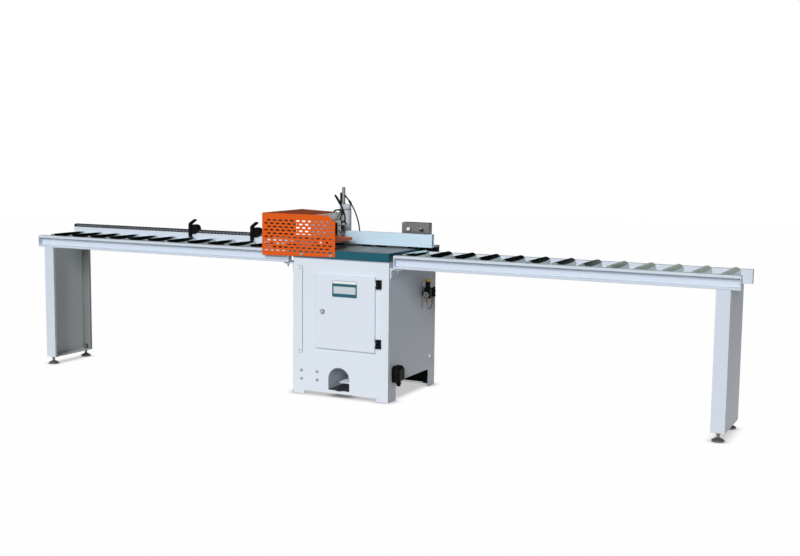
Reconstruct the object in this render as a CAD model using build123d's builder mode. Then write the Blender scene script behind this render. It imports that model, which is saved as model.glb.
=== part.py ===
"""Up-cut cut-off saw with a roller table on each side.

Millimetres, +Z up. The origin lies on the floor under the middle of the machine.
X runs along the roller tables, Y from the operator's side to the back.
"""
from build123d import *
import math
import os

os.makedirs("parts", exist_ok=True)

# Clearances
RUN = 0.05  # radial, a shaft in its bore
PLAY = 0.5  # between flat faces that move past each other
BELT_PLAY = 0.3  # between a belt and its groove

# Cabinet
CABINET_WIDTH = 610
CABINET_DEPTH = 615
CABINET_HEIGHT = 781
SHEET = 3
CORNER = 7
TOP_FLANGE = 35
TOE_INSET = 75
TOE_HEIGHT = 20
SIDE_FOOT_FRONT = 91
SIDE_FOOT_BACK = 95
SIDE_CUT_HEIGHT = 103
SIDE_CUT_RADIUS = 12
BACK_CUT_HEIGHT = 60
LEFT = -CABINET_WIDTH / 2
RIGHT = CABINET_WIDTH / 2
FRONT = 10 - CABINET_DEPTH / 2
BACK = FRONT + CABINET_DEPTH
INSIDE_X = (LEFT + SHEET, RIGHT - SHEET)
INSIDE_Y = (FRONT + SHEET, BACK - SHEET)

# Table
TABLE_EDGE = 47
TABLE_PLATE = 18
TABLE_RIM = 14
TABLE_RIB = 12
TABLE_LIP = 13
TABLE_CHAMFER = 1.5
TABLE_TOP = CABINET_HEIGHT + TABLE_EDGE
TABLE_FRONT = FRONT - TABLE_LIP

# Roller frames
FRAME_LENGTH = 1840
FRAME_GAP = 25
FRAME_DEPTH = 355
FRAME_PROUD = 10  # in front of the cabinet
RAIL_DROP = 10  # below the table's top
RAIL_HEIGHT = 72
RAIL_FLANGE = 36
RAIL_RECESS = 30
RAIL_BEAD = 14
RAIL_LIP = 13
RAIL_CAP = 4
RAIL_ROUND = 3
HANGER_DROP = 54
HANGER_LENGTH = 40
HANGER_PLATE = 6
HANGER_SEAT = 9
HANGER_INSET = 17
FRAME_FRONT = FRONT - FRAME_PROUD
FRAME_BACK = FRAME_FRONT + FRAME_DEPTH
RAIL_TOP = TABLE_TOP - RAIL_DROP
RAIL_BOTTOM = RAIL_TOP - RAIL_HEIGHT
INNER_FRONT = FRAME_FRONT + RAIL_FLANGE
INNER_BACK = FRAME_BACK - RAIL_FLANGE

# Rollers
LEFT_ROLLERS = 12
RIGHT_ROLLERS = 13
LEFT_ROLLER_FIRST = 148  # from the frame's inner end
RIGHT_ROLLER_FIRST = 48
ROLLER_LAST = 82  # from the frame's outer end
ROLLER_DIAMETER = 50
ROLLER_WALL = 3
ROLLER_HUB = 16
ROLLER_GAP = 4
ROLLER_CHAMFER = 1.5
AXLE_DIAMETER = 10
AXLE_Z = TABLE_TOP - ROLLER_DIAMETER / 2

# End legs and levelling feet
LEG_WIDTH = 70
LEG_INSET = 46
LEG_SETBACK = 3
LEG_SHEET = 3
LEG_LIP = 16
LEG_BOTTOM = 45
LEG_PLATE = 5
LEG_TIE_GAP = 8
FOOT_INSET = 22
FOOT_DISC = 62
FOOT_DISC_HEIGHT = 8
FOOT_CONE = 12
FOOT_NECK = 22
FOOT_STUD = 16
FOOT_STUD_TOP = 82
FOOT_NUT = 24
FOOT_NUT_HEIGHT = 8
LEG_Y = (FRAME_FRONT + LEG_SETBACK, FRAME_BACK - LEG_SETBACK)
FOOT_Y = (LEG_Y[0] + FOOT_INSET, LEG_Y[1] - FOOT_INSET)

# Fences
FENCE_SETBACK = 335  # from the frames' front
FENCE_START = 62
FENCE_OVERHANG = 102
FENCE_THICK = 30
FENCE_WALL = 4
FENCE_ROUND = 2.5
FENCE_FOOT_HEIGHT = 10
FENCE_HEIGHT = 75
FENCE_FOOT = 50
FENCE_FOOT_STARTS = (20, 204, 301)  # from the fence's left end; one more ends with the table
STUB_START = 2
STUB_LENGTH = 26
FENCE_BAR_OVERHANG = 9
FENCE_BAR_BEHIND = 24
FENCE_BAR_DEPTH = 30
FENCE_BAR_DROP = 16  # below the table's top
EAR_LENGTH = 38
EAR_REACH = 35
EAR_THICK = 10
EAR_LIFT = 4
STOP_FENCE_THICK = 20
STOP_FENCE_HEIGHT = 35
SCALE_HEIGHT = 20
SCALE_ROUND = 12
FENCE_FACE = FRAME_FRONT + FENCE_SETBACK
FENCE_Y = (FENCE_FACE, FENCE_FACE + FENCE_THICK)
FENCE_X = (LEFT + FENCE_START, RIGHT + FENCE_OVERHANG)
FENCE_BOTTOM = TABLE_TOP + FENCE_FOOT_HEIGHT
FENCE_TOP = FENCE_BOTTOM + FENCE_HEIGHT
STOP_FENCE_Y = (FENCE_FACE, FENCE_FACE + STOP_FENCE_THICK)
STOP_FENCE_TOP = RAIL_TOP + STOP_FENCE_HEIGHT
SCALE_TOP = STOP_FENCE_TOP + SCALE_HEIGHT

# Length stops
STOP_OUT = (922, 468)  # from the cabinet's left side
STOP_BLOCK = 44
STOP_ROUND = 26
STOP_RISE = 32  # above the scale rail
STOP_WALL = 8
STOP_SKIRT = 6
STOP_PIN = 10
STOP_PIN_REACH = 10
STOP_BOSS = 20
STOP_KNOB = 22
STOP_KNOB_LENGTH = 16
STOP_KNOB_NECK = 8
FINGER_THICK = 22
FINGER_WIDTH = 10
FINGER_GAP = 4
FINGER_TIP = 8  # above the rail
FINGER_TOP = 31  # above the pin
HOOK_REACH = 36
HOOK_RISE = 50
HOOK_THICK = 9
FINGER_AXIS_Y = FENCE_FACE + STOP_FENCE_THICK / 2
FINGER_AXIS_Z = SCALE_TOP + STOP_BOSS / 2 + 2.5
STOP_PLACES = [LEFT - out for out in STOP_OUT]

# Saw unit
BLADE_SIDE = 45  # from the cabinet's left side
BLADE_DIAMETER = 455
BLADE_BODY = 4
BLADE_TEETH = 60
TOOTH_DEPTH = 9
PIVOT_SETBACK = 85  # from the cabinet's back panel's inside
PIVOT_DROP = 181  # from the cabinet's top
ARBOR_REACH = 260
ARBOR_DROP = 55
ARBOR_DIAMETER = 30
PIVOT_DIAMETER = 40
HOUSING_DIAMETER = 84
HOUSING_LENGTH = 145
HOUSING_RELIEF = 40
BEARING_LAND = 22
FLANGE_DIAMETER = 100
FLANGE_THICK = 11
NUT_LENGTH = 14
NUT_DIAMETER = 46
HOUSING_GAP = 2
PULLEY_WIDTH = 40
PULLEY_GAP = 7
ARBOR_PULLEY = 90
MOTOR_PULLEY = 120
GROOVE_WIDTH = 13
GROOVE_DEPTH = 8
GROOVE_PITCH = 19
BELT_THICK = 9
MOTOR_DIAMETER = 190
MOTOR_SIDE = 32  # from the cabinet's right wall
MOTOR_GAP = 23
MOTOR_REACH = 100
MOTOR_DROP = 240
MOTOR_SHAFT = 28
MOTOR_SHAFT_DEPTH = 60
ARM_PLATE = 12
ARM_GAP = 32
ARM_PIVOT_RADIUS = 38
CRADLE_PLATE = 14
CRADLE_WALL = 20
CRADLE_PIVOT_RADIUS = 40
CRADLE_INSET = 26
FEED_SIDE = 108  # from the cabinet's left side
FEED_RADIUS = 190
FEED_SWING = 31.7
FEED_PIN = 16
FEED_PIN_PLAY = 0.35
SLOT_WIDTH = 14
SLOT_PLAY = 4
BLADE_X = LEFT + BLADE_SIDE
PIVOT_Y = INSIDE_Y[1] - PIVOT_SETBACK
PIVOT_Z = CABINET_HEIGHT - PIVOT_DROP
ARBOR_Y = PIVOT_Y - ARBOR_REACH
ARBOR_Z = PIVOT_Z - ARBOR_DROP
MOTOR_Y = PIVOT_Y - MOTOR_REACH
MOTOR_Z = PIVOT_Z - MOTOR_DROP
FEED_X = LEFT + FEED_SIDE

# Feed cylinder, the cross beam under it and the pivot brackets
BEAM_WIDTH = 78
BEAM_BOTTOM = 80
BEAM_TOP = 140
BEAM_WALL = 5
BEAM_FLANGE = 130
BEAM_FLANGE_HEIGHT = 78
BEAM_FLANGE_THICK = 6
CYLINDER_BORE = 63
CYLINDER_WALL = 3.5
CYLINDER_HEAD = 74
CYLINDER_HEAD_HEIGHT = 28
CYLINDER_DROP = 104  # its top from the pivot
FEED_ROD = 20
PISTON_HEIGHT = 25
PISTON_GAP = 4
EYE_WALL = 6
EYE_LENGTH = 26
BRACKET_HALF = 36
BRACKET_THICK = 25
BRACKET_GAP = 14
CYLINDER_TOP = PIVOT_Z - CYLINDER_DROP

# Blade hood
HOOD_LEFT_REACH = 196  # past the cabinet's left side
HOOD_FRONT_LENGTH = 474
HOOD_EDGE_RISE = 10  # of the front's lower edge, towards the right
HOOD_ROOF_LENGTH = 319
HOOD_RISE = 194  # above the table
HOOD_SHEET = 2.5
HOOD_DEPTH = 305
HOOD_LEFT_DEPTH = 442
HOOD_WALL_DEPTH = 368
HOOD_WALL_RISE = 47  # above the table
HOOD_CHAMFER_X = 46
HOOD_CHAMFER_Z = 39
SLOT_HOLE_LENGTH = 24
SLOT_HOLE_WIDTH = 9
SLOT_PITCH_X = 38
SLOT_PITCH_Z = 18.9
SLOT_ROWS = 10
SLOTS_IN_ROW = 12
SLOT_EDGE = 26
SLOT_HEAD = 39
SIDE_PLATE = 3
SIDE_PLATE_INSET = 2
SIDE_PLATE_RISE = 57  # above the table
SIDE_PLATE_DEPTH = 333
SIDE_PLATE_TOP_DEPTH = 363
SIDE_PLATE_OVER_FENCE = 4
HOOD_TOP = TABLE_TOP + HOOD_RISE
HOOD_WALL_BOTTOM = TABLE_TOP + HOOD_WALL_RISE
SIDE_PLATE_BOTTOM = TABLE_TOP + SIDE_PLATE_RISE

# Hold-down clamp
COLUMN_SIDE = 121  # from the cabinet's left side
COLUMN_BEHIND = 37  # behind the fence
COLUMN_DIAMETER = 72
COLUMN_HEIGHT = 208
COLUMN_CAP = 26
COLUMN_CAP_DIAMETER = 68
COLUMN_GROOVE = 2
COLUMN_ROD = 20
COLUMN_ROD_HEIGHT = 126
COLUMN_ROD_SIDE = 12
COLUMN_PIN = 14
COLUMN_PIN_HEIGHT = 94
COLUMN_PIN_SIDE = 28
CLAMP_HEAD = 37
CLAMP_SIDE = 141.5  # from the cabinet's left side
CLAMP_AHEAD = 41.5  # in front of the fence
CLAMP_RISE = 62  # above the table
CLAMP_HEAD_HEIGHT = 85
CLAMP_ROOF = 5
ARM_HEIGHT = 47
ARM_WIDTH = 13
ARM_SIDE = 9  # left of the head's middle
ARM_TOP_DROP = 3
CLAMP_ROD = 16
CLAMP_ROD_LENGTH = 80
PRESSER_RISE = 55  # its top above the table
PRESSER_THICK = 15
PRESSER_LEFT = 128  # from the cabinet's left side
PRESSER_WIDTH = 120
PRESSER_FRONT = 43  # from the table's front edge
PRESSER_GAP = 10
PRESSER_SLANT = 73
LEVER_STEM = 10
LEVER_GRIP = 15
LEVER_HUB = 13
LEVER_PIN = 6
LEVER_EAR = 5
LEVER_REACH = 18  # from the head's side to the pin
LEVER_RISE = 127  # above the table
LEVER_STEPS = ((0, 45), (-13, 78), (-31, 117), (-67, 165))  # x and z from the pin
LEVER_BEND = 26
COLUMN_X = LEFT + COLUMN_SIDE
COLUMN_Y = FENCE_Y[1] + COLUMN_BEHIND
CLAMP_X = LEFT + CLAMP_SIDE
CLAMP_Y = FENCE_FACE - CLAMP_AHEAD
COLUMN_TOP = TABLE_TOP + COLUMN_HEIGHT
COLUMN_ROD_TOP = COLUMN_TOP + COLUMN_ROD_HEIGHT
COLUMN_PIN_TOP = COLUMN_TOP + COLUMN_PIN_HEIGHT
CLAMP_HEAD_BOTTOM = TABLE_TOP + CLAMP_RISE
CLAMP_HEAD_TOP = CLAMP_HEAD_BOTTOM + CLAMP_HEAD_HEIGHT
PRESSER_TOP = TABLE_TOP + PRESSER_RISE
LEVER_Z = TABLE_TOP + LEVER_RISE

# Air hose from the clamp's rod down to the table behind the fence
HOSE_DIAMETER = 8
HOSE_FITTING = 12
HOSE_FITTING_LENGTH = 16
HOSE_SOCKET = 14
HOSE_STEPS = (
    (6, 0.5, 276), (18, 1.5, 263), (32, 2.5, 244), (48, 3.5, 219), (63, 4.5, 191),
    (75, 6, 160), (85, 7, 126), (91, 7.5, 90), (93, 8, 57), (93, 8, 30),
)  # from the column's foot
HOSE_ROUTE = [(COLUMN_X + x, COLUMN_Y + y, TABLE_TOP + z) for x, y, z in HOSE_STEPS]

# Door, lock and hinges
DOOR_SIDE = 151  # from the cabinet's left side
DOOR_RIGHT_SIDE = 82  # from the cabinet's right side
DOOR_BOTTOM = 272
DOOR_DROP = 88  # from the cabinet's top
DOOR_DEPTH = 16
DOOR_SHEET = 2.5
DOOR_ROUND = 6
DOOR_OVERLAP = 14
LOCK_INSET = 50
LOCK_RISE = 212  # above the door's bottom edge
LOCK_DIAMETER = 25
LOCK_HEIGHT = 8
LOCK_SHAFT = 16
CAM_LENGTH = 32
CAM_WIDTH = 16
CAM_THICK = 4
HINGE_RISE = 52  # above the door's bottom edge
HINGE_DROP = 39  # below its top edge
HINGE_HEIGHT = 50
HINGE_REACH = 9
HINGE_PROUD = 10
HINGE_PIN = 6
HINGE_KNUCKLE = 12
HINGE_KNUCKLE_HEIGHT = 18
HINGE_LEAF = 19
HINGE_LEAF_GAP = 7
HINGE_LEAF_DEPTH = 12
DOOR_X = (LEFT + DOOR_SIDE, RIGHT - DOOR_RIGHT_SIDE)
DOOR_Z = (DOOR_BOTTOM, CABINET_HEIGHT - DOOR_DROP)
DOOR_Y = (FRONT - DOOR_DEPTH, FRONT - PLAY)
HINGE_X = DOOR_X[1] + HINGE_REACH
HINGE_Y = FRONT - HINGE_PROUD
LOCK_X = DOOR_X[0] + LOCK_INSET
LOCK_Z = DOOR_Z[0] + LOCK_RISE
HINGE_HEIGHTS = (DOOR_Z[0] + HINGE_RISE, DOOR_Z[1] - HINGE_DROP)

# Cover strip, pedal arch and pedal
STRIP_WIDTH = 35
STRIP_BOTTOM = 235
STRIP_DROP = 49  # from the cabinet's top
STRIP_THICK = 3.5
STRIP_OVERLAP = 5
STRIP_ROUND = 10
STRIP_SCREW_INSET = 15
ARCH_X = -7  # its middle
ARCH_WIDTH = 134
ARCH_BOTTOM = 38
ARCH_TOP = 168
TUNNEL_DEPTH = 260
TUNNEL_WALL = 2
PEDAL_WIDTH = 82
PEDAL_LENGTH = 130
PEDAL_THICK = 8
PEDAL_ROUND = 12
PEDAL_SETBACK = 205
PEDAL_PIN = 10
PEDAL_PIN_Z = 66
PEDAL_EAR = 8
VALVE_WIDTH = 60
VALVE_TOP = 100
VALVE_GAP = 16
STRIP_TOP = CABINET_HEIGHT - STRIP_DROP
PEDAL_Y = FRONT + PEDAL_SETBACK

# Control box
CONTROL_SIDE = 120  # from the cabinet's right side
CONTROL_WIDTH = 168
CONTROL_BEHIND = 40  # behind the fence
CONTROL_DEPTH = 47
CONTROL_RISE = 38  # above the table
CONTROL_HEIGHT = 106
CONTROL_WALL = 2
CONTROL_ROUND = 4
POST_WIDTH = 60
POST_DEPTH = 30
POST_INSET = 50
POST_WALL = 3
BUTTON_DIAMETER = 22
BUTTON_STAND = 11
BUTTON_TRAVEL = 4
BUTTON_COLLAR = 27
BUTTON_COLLAR_THICK = 3
BEZEL_DIAMETER = 30
BEZEL_STAND = 5
BUTTON_PLACES = (45, 124)  # from the box's left side
BUTTON_DROP = 37
CONTROL_X = (RIGHT - CONTROL_SIDE, RIGHT - CONTROL_SIDE + CONTROL_WIDTH)
CONTROL_Y = (FENCE_Y[1] + CONTROL_BEHIND, FENCE_Y[1] + CONTROL_BEHIND + CONTROL_DEPTH)
CONTROL_Z = (TABLE_TOP + CONTROL_RISE, TABLE_TOP + CONTROL_RISE + CONTROL_HEIGHT)

# Fittings on the right side and the back
INLET_SETBACK = 36
INLET_WIDTH = 88
INLET_BOTTOM = 108
INLET_HEIGHT = 89
INLET_DEPTH = 44
INLET_CHAMFER = 14
INLET_GLAND = 30
INLET_GLAND_DROP = 24
AIR_STAND = 36
AIR_BODY = 36
AIR_BODY_ROUND = 5
AIR_BODY_DROP = 183  # from the cabinet's top
AIR_BODY_HEIGHT = 60
AIR_PLATE = 4
AIR_PLATE_WIDTH = 26
AIR_PLATE_TOP = 30  # above the regulator's body
AIR_PLATE_HEIGHT = 150
AIR_ARM = 20
REGULATOR_SETBACK = 424
AIR_PITCH = 66
NIPPLE_DIAMETER = 20
NIPPLE_RISE = 22  # above the regulator body's bottom
COLLAR_DIAMETER = 22
COLLAR_HEIGHT = 20
REGULATOR_BOWL = 18
REGULATOR_BOWL_HEIGHT = 20
LUBRICATOR_BODY = 36
LUBRICATOR_TOP = 25  # above the nipple
LUBRICATOR_BOTTOM = 19  # below the nipple
LUBRICATOR_BOWL = 20
LUBRICATOR_BOWL_HEIGHT = 49
FILLER_DIAMETER = 14
FILLER_HEIGHT = 8
ELBOW_DIAMETER = 13
ELBOW_REACH = 24  # behind the lubricator's middle
ELBOW_RISE = 36
DRAIN_DIAMETER = 8
DRAIN_LENGTH = 18
GAUGE_DIAMETER = 35
GAUGE_DEPTH = 10
KNOB_DIAMETER = 27
KNOB_HEIGHT = 37
KNOB_CAP = 32
KNOB_CAP_HEIGHT = 16
KNOB_STEM = 12
KNOB_STEM_DEPTH = 15
DUST_SIDE = 110  # from the cabinet's left side
DUST_Z = 330
DUST_DIAMETER = 120
DUST_WALL = 4
DUST_COLLAR = 7
AIR_X = RIGHT + AIR_STAND
AIR_BODY_TOP = CABINET_HEIGHT - AIR_BODY_DROP
AIR_BODY_BOTTOM = AIR_BODY_TOP - AIR_BODY_HEIGHT
NIPPLE_Z = AIR_BODY_BOTTOM + NIPPLE_RISE
REGULATOR_Y = FRONT + REGULATOR_SETBACK
LUBRICATOR_Y = REGULATOR_Y + AIR_PITCH

# Bolts
BOLT_HEAD = 13
BOLT_HEAD_HEIGHT = 5.5
BOLT_STUD = 8
BOLT_STUD_LENGTH = 10
WASHER = 17
WASHER_THICK = 1.6
SCREW_HEAD = 9
SCREW_HEAD_HEIGHT = 2.5
HOOD_BOLT_SIDE = 65  # from the cabinet's left side


def middle(span):
    """Point halfway along a span."""
    return (span[0] + span[1]) / 2


def length(span):
    """Length of a span."""
    return span[1] - span[0]


def ordered(a, b):
    """Span between two values, the smaller one first."""
    return min(a, b), max(a, b)


def about(place, width):
    """Span of a width around a place."""
    return place - width / 2, place + width / 2


def slab(x, y, z, mode=Mode.ADD):
    """Box between two x, two y and two z values."""
    with Locations((middle(x), middle(y), middle(z))):
        Box(length(x), length(y), length(z), mode=mode)


def bar_x(x, y, z, diameter, mode=Mode.ADD):
    """Round bar along X."""
    with Locations(Location((middle(x), y, z), (0, 90, 0))):
        Cylinder(diameter / 2, length(x), mode=mode)


def bar_y(x, y, z, diameter, mode=Mode.ADD):
    """Round bar along Y."""
    with Locations(Location((x, middle(y), z), (90, 0, 0))):
        Cylinder(diameter / 2, length(y), mode=mode)


def bar_z(x, y, z, diameter, mode=Mode.ADD):
    """Round bar along Z."""
    with Locations((x, y, middle(z))):
        Cylinder(diameter / 2, length(z), mode=mode)


def side_plane(x):
    """Plane square to X that faces right, its own x along Y and its own y along Z."""
    return Plane(origin=(x, 0, 0), x_dir=(0, 1, 0), z_dir=(1, 0, 0))


def front_plane(y):
    """Plane square to Y that faces the operator, its own x along X and its own y along Z."""
    return Plane(origin=(0, y, 0), x_dir=(1, 0, 0), z_dir=(0, -1, 0))


def save(piece, name):
    """Label a piece and write it."""
    piece.label = name
    export_step(piece, f"parts/{name}.step")


def save_group(name, pieces):
    """Write several solids as one piece."""
    save(Compound(label=name, children=pieces), name)


# Cabinet: folded shell on four feet
def arch_outline(grow):
    """Pedal opening with a round top, grown on all sides."""
    radius = ARCH_WIDTH / 2 + grow
    spring = ARCH_TOP - ARCH_WIDTH / 2
    base = ARCH_BOTTOM - grow
    with Locations((ARCH_X, spring)):
        Circle(radius)
    with Locations((ARCH_X, (base + spring) / 2)):
        Rectangle(2 * radius, spring - base)


STRIP_X = about(BLADE_X, STRIP_WIDTH)
TUNNEL_Y = (FRONT + SHEET, FRONT + SHEET + TUNNEL_DEPTH)
BEAM_X = about(FEED_X, BEAM_WIDTH)
BEAM_Z = (BEAM_BOTTOM, BEAM_TOP)

with BuildPart() as shell:
    slab((LEFT, RIGHT), (FRONT, BACK), (0, CABINET_HEIGHT))
    fillet(shell.edges().filter_by(Axis.Z), CORNER)
    slab(INSIDE_X, INSIDE_Y, (0, CABINET_HEIGHT - SHEET), mode=Mode.SUBTRACT)
    slab((LEFT + TOP_FLANGE, RIGHT - TOP_FLANGE), (FRONT + TOP_FLANGE, BACK - TOP_FLANGE),
         (CABINET_HEIGHT - SHEET, CABINET_HEIGHT), mode=Mode.SUBTRACT)
    # feet: toe notch in front, cut-outs at the back and the sides
    slab((LEFT + TOE_INSET, RIGHT - TOE_INSET), (FRONT, FRONT + SHEET), (0, TOE_HEIGHT), mode=Mode.SUBTRACT)
    slab((LEFT + TOE_INSET, RIGHT - TOE_INSET), (BACK - SHEET, BACK), (0, BACK_CUT_HEIGHT), mode=Mode.SUBTRACT)
    side_cut = (FRONT + SIDE_FOOT_FRONT, BACK - SIDE_FOOT_BACK)
    with BuildSketch(side_plane(LEFT)):
        with Locations((middle(side_cut), 0)):
            RectangleRounded(length(side_cut), 2 * SIDE_CUT_HEIGHT, SIDE_CUT_RADIUS)
    extrude(amount=CABINET_WIDTH, mode=Mode.SUBTRACT)
    # openings in the front panel: door, blade-change slot, pedal arch
    slab((DOOR_X[0] + DOOR_OVERLAP, DOOR_X[1] - DOOR_OVERLAP), (FRONT, FRONT + SHEET),
         (DOOR_Z[0] + DOOR_OVERLAP, DOOR_Z[1] - DOOR_OVERLAP), mode=Mode.SUBTRACT)
    slab((STRIP_X[0] + STRIP_OVERLAP, STRIP_X[1] - STRIP_OVERLAP), (FRONT, FRONT + SHEET),
         (STRIP_BOTTOM + STRIP_OVERLAP, STRIP_TOP - STRIP_OVERLAP), mode=Mode.SUBTRACT)
    with BuildSketch(front_plane(FRONT)):
        arch_outline(0)
    extrude(amount=-SHEET, mode=Mode.SUBTRACT)
    # dust outlet: a hole in the back panel with a short collar
    bar_y(LEFT + DUST_SIDE, (INSIDE_Y[1], BACK + DUST_COLLAR), DUST_Z, DUST_DIAMETER)
    bar_y(LEFT + DUST_SIDE, (INSIDE_Y[1], BACK + DUST_COLLAR), DUST_Z, DUST_DIAMETER - 2 * DUST_WALL,
          mode=Mode.SUBTRACT)

with BuildPart() as cover_strip:
    slab(STRIP_X, (FRONT - STRIP_THICK, FRONT), (STRIP_BOTTOM, STRIP_TOP))
    fillet(cover_strip.edges().filter_by(Axis.Y), STRIP_ROUND)

# Tunnel behind the arch, where the pedal sits
with BuildPart() as tunnel:
    with BuildSketch(front_plane(TUNNEL_Y[0])):
        arch_outline(TUNNEL_WALL)
    extrude(amount=-TUNNEL_DEPTH)
    with BuildSketch(front_plane(TUNNEL_Y[0])):
        arch_outline(0)
    extrude(amount=-(TUNNEL_DEPTH - TUNNEL_WALL), mode=Mode.SUBTRACT)

# Cross beam under the feed cylinder, flanged to the front and back panels
with BuildPart() as beam:
    slab(BEAM_X, INSIDE_Y, BEAM_Z)
    slab((BEAM_X[0] + BEAM_WALL, BEAM_X[1] - BEAM_WALL), INSIDE_Y, (BEAM_BOTTOM, BEAM_TOP - BEAM_WALL),
         mode=Mode.SUBTRACT)
    for wall in ((INSIDE_Y[0], INSIDE_Y[0] + BEAM_FLANGE_THICK), (INSIDE_Y[1] - BEAM_FLANGE_THICK, INSIDE_Y[1])):
        slab(about(FEED_X, BEAM_FLANGE), wall, about(middle(BEAM_Z), BEAM_FLANGE_HEIGHT))

# Positions along the saw unit's shafts, from the blade to the right
HOUSING_START = BLADE_X + BLADE_BODY / 2 + FLANGE_THICK + HOUSING_GAP
HOUSING_X = (HOUSING_START, HOUSING_START + HOUSING_LENGTH)
PULLEY_X = (HOUSING_X[1] + PULLEY_GAP, HOUSING_X[1] + PULLEY_GAP + PULLEY_WIDTH)
MOTOR_X = (PULLEY_X[1] + MOTOR_GAP, INSIDE_X[1] - MOTOR_SIDE)
ARM_X = ((FEED_X - ARM_GAP / 2 - ARM_PLATE, FEED_X - ARM_GAP / 2),
         (FEED_X + ARM_GAP / 2, FEED_X + ARM_GAP / 2 + ARM_PLATE))
CRADLE_X = ((MOTOR_X[0] + CRADLE_INSET, MOTOR_X[0] + CRADLE_INSET + CRADLE_PLATE),
            (MOTOR_X[1] - CRADLE_INSET - CRADLE_PLATE, MOTOR_X[1] - CRADLE_INSET))
BRACKET_X = ((ARM_X[1][1] + BRACKET_GAP, ARM_X[1][1] + BRACKET_GAP + BRACKET_THICK),
             (CRADLE_X[1][1] + BRACKET_GAP, CRADLE_X[1][1] + BRACKET_GAP + BRACKET_THICK))

# Brackets on the back panel that carry the swing arm's pivot shaft
pivot_brackets = []
for span in BRACKET_X:
    with BuildPart() as bracket:
        slab(span, (PIVOT_Y, INSIDE_Y[1]), about(PIVOT_Z, 2 * BRACKET_HALF))
        bar_x(span, PIVOT_Y, PIVOT_Z, 2 * BRACKET_HALF)
        bar_x(span, PIVOT_Y, PIVOT_Z, PIVOT_DIAMETER + 2 * RUN, mode=Mode.SUBTRACT)
    pivot_brackets.append(bracket.part)

# Valve behind the pedal, with the ears and the pin that carry the pedal
PEDAL_X = about(ARCH_X, PEDAL_WIDTH)
EAR_X = (PEDAL_X[0] - PLAY - PEDAL_EAR, PEDAL_X[1] + PLAY + PEDAL_EAR)
VALVE_Y = (PEDAL_Y + VALVE_GAP, TUNNEL_Y[1] - TUNNEL_WALL)
with BuildPart() as pedal_valve:
    slab(about(ARCH_X, VALVE_WIDTH), VALVE_Y, (ARCH_BOTTOM, VALVE_TOP))
    slab(EAR_X, (VALVE_Y[0], VALVE_Y[0] + PEDAL_EAR), (ARCH_BOTTOM, PEDAL_PIN_Z + PEDAL_PIN))
    for ear in ((EAR_X[0], EAR_X[0] + PEDAL_EAR), (EAR_X[1] - PEDAL_EAR, EAR_X[1])):
        slab(ear, (PEDAL_Y - PEDAL_PIN, VALVE_Y[0]), (ARCH_BOTTOM, PEDAL_PIN_Z + PEDAL_PIN))
    bar_x(EAR_X, PEDAL_Y, PEDAL_PIN_Z, PEDAL_PIN)

save_group("cabinet", [shell.part, cover_strip.part, tunnel.part, beam.part, *pivot_brackets, pedal_valve.part])

# Foot pedal: treadle plate with a sleeve on the pin
with BuildPart() as pedal:
    slab(PEDAL_X, (PEDAL_Y - PEDAL_LENGTH, PEDAL_Y), (PEDAL_PIN_Z, PEDAL_PIN_Z + PEDAL_THICK))
    fillet(pedal.edges().filter_by(Axis.Z).group_by(Axis.Y)[0], PEDAL_ROUND)
    bar_x(PEDAL_X, PEDAL_Y, PEDAL_PIN_Z, PEDAL_PIN + 2 * PEDAL_THICK)
    bar_x(PEDAL_X, PEDAL_Y, PEDAL_PIN_Z, PEDAL_PIN + 2 * RUN, mode=Mode.SUBTRACT)
save(pedal.part, "pedal")

# Table: welded from top plates beside the blade's slot, fillers at the slot's ends, rim bars and ribs
ARM_RADIUS = math.hypot(ARBOR_REACH, ARBOR_DROP)
RAISED_ANGLE = math.atan2(-ARBOR_DROP, ARBOR_REACH) + math.radians(FEED_SWING)
RAISED_Y = PIVOT_Y - ARM_RADIUS * math.cos(RAISED_ANGLE)
RAISED_Z = PIVOT_Z + ARM_RADIUS * math.sin(RAISED_ANGLE)
SLOT_HALF = math.sqrt((BLADE_DIAMETER / 2) ** 2 - (TABLE_TOP - TABLE_PLATE - RAISED_Z) ** 2) + SLOT_PLAY
SLOT_X = about(BLADE_X, SLOT_WIDTH)
SLOT_Y = about(RAISED_Y, 2 * SLOT_HALF)
PLATE_Z = (TABLE_TOP - TABLE_PLATE, TABLE_TOP)
RIM_Z = (CABINET_HEIGHT, PLATE_Z[0])
RIB_Z = (CABINET_HEIGHT + TABLE_RIB, PLATE_Z[0])
RIM_Y = (FRONT + TABLE_RIM, BACK - TABLE_RIM)
TABLE_SPANS = (
    ((LEFT, SLOT_X[0]), (TABLE_FRONT, BACK), PLATE_Z),
    ((SLOT_X[1], RIGHT), (TABLE_FRONT, BACK), PLATE_Z),
    (SLOT_X, (TABLE_FRONT, SLOT_Y[0]), PLATE_Z),
    (SLOT_X, (SLOT_Y[1], BACK), PLATE_Z),
    ((LEFT, RIGHT), (TABLE_FRONT, RIM_Y[0]), RIM_Z),
    ((LEFT, RIGHT), (RIM_Y[1], BACK), RIM_Z),
    ((LEFT, LEFT + TABLE_RIM), RIM_Y, RIM_Z),
    ((RIGHT - TABLE_RIM, RIGHT), RIM_Y, RIM_Z),
    (about(LEFT + CABINET_WIDTH / 2, TABLE_RIB), RIM_Y, RIB_Z),
    (about(CONTROL_X[0] + POST_INSET, TABLE_RIB), RIM_Y, RIB_Z),
)
with BuildPart() as table:
    slab((LEFT, RIGHT), (TABLE_FRONT, BACK), (CABINET_HEIGHT, TABLE_TOP))
    fillet(table.edges().filter_by(Axis.Z), CORNER)
    chamfer(table.faces().sort_by(Axis.Z)[-1].edges(), TABLE_CHAMFER)


def table_piece(span):
    """Plate or bar of the table: the part of its outline between two x, two y and two z values."""
    with BuildPart() as piece:
        add(table.part)
        slab(*span, mode=Mode.INTERSECT)
    return piece.part


save_group("table", [table_piece(span) for span in TABLE_SPANS])


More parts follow.
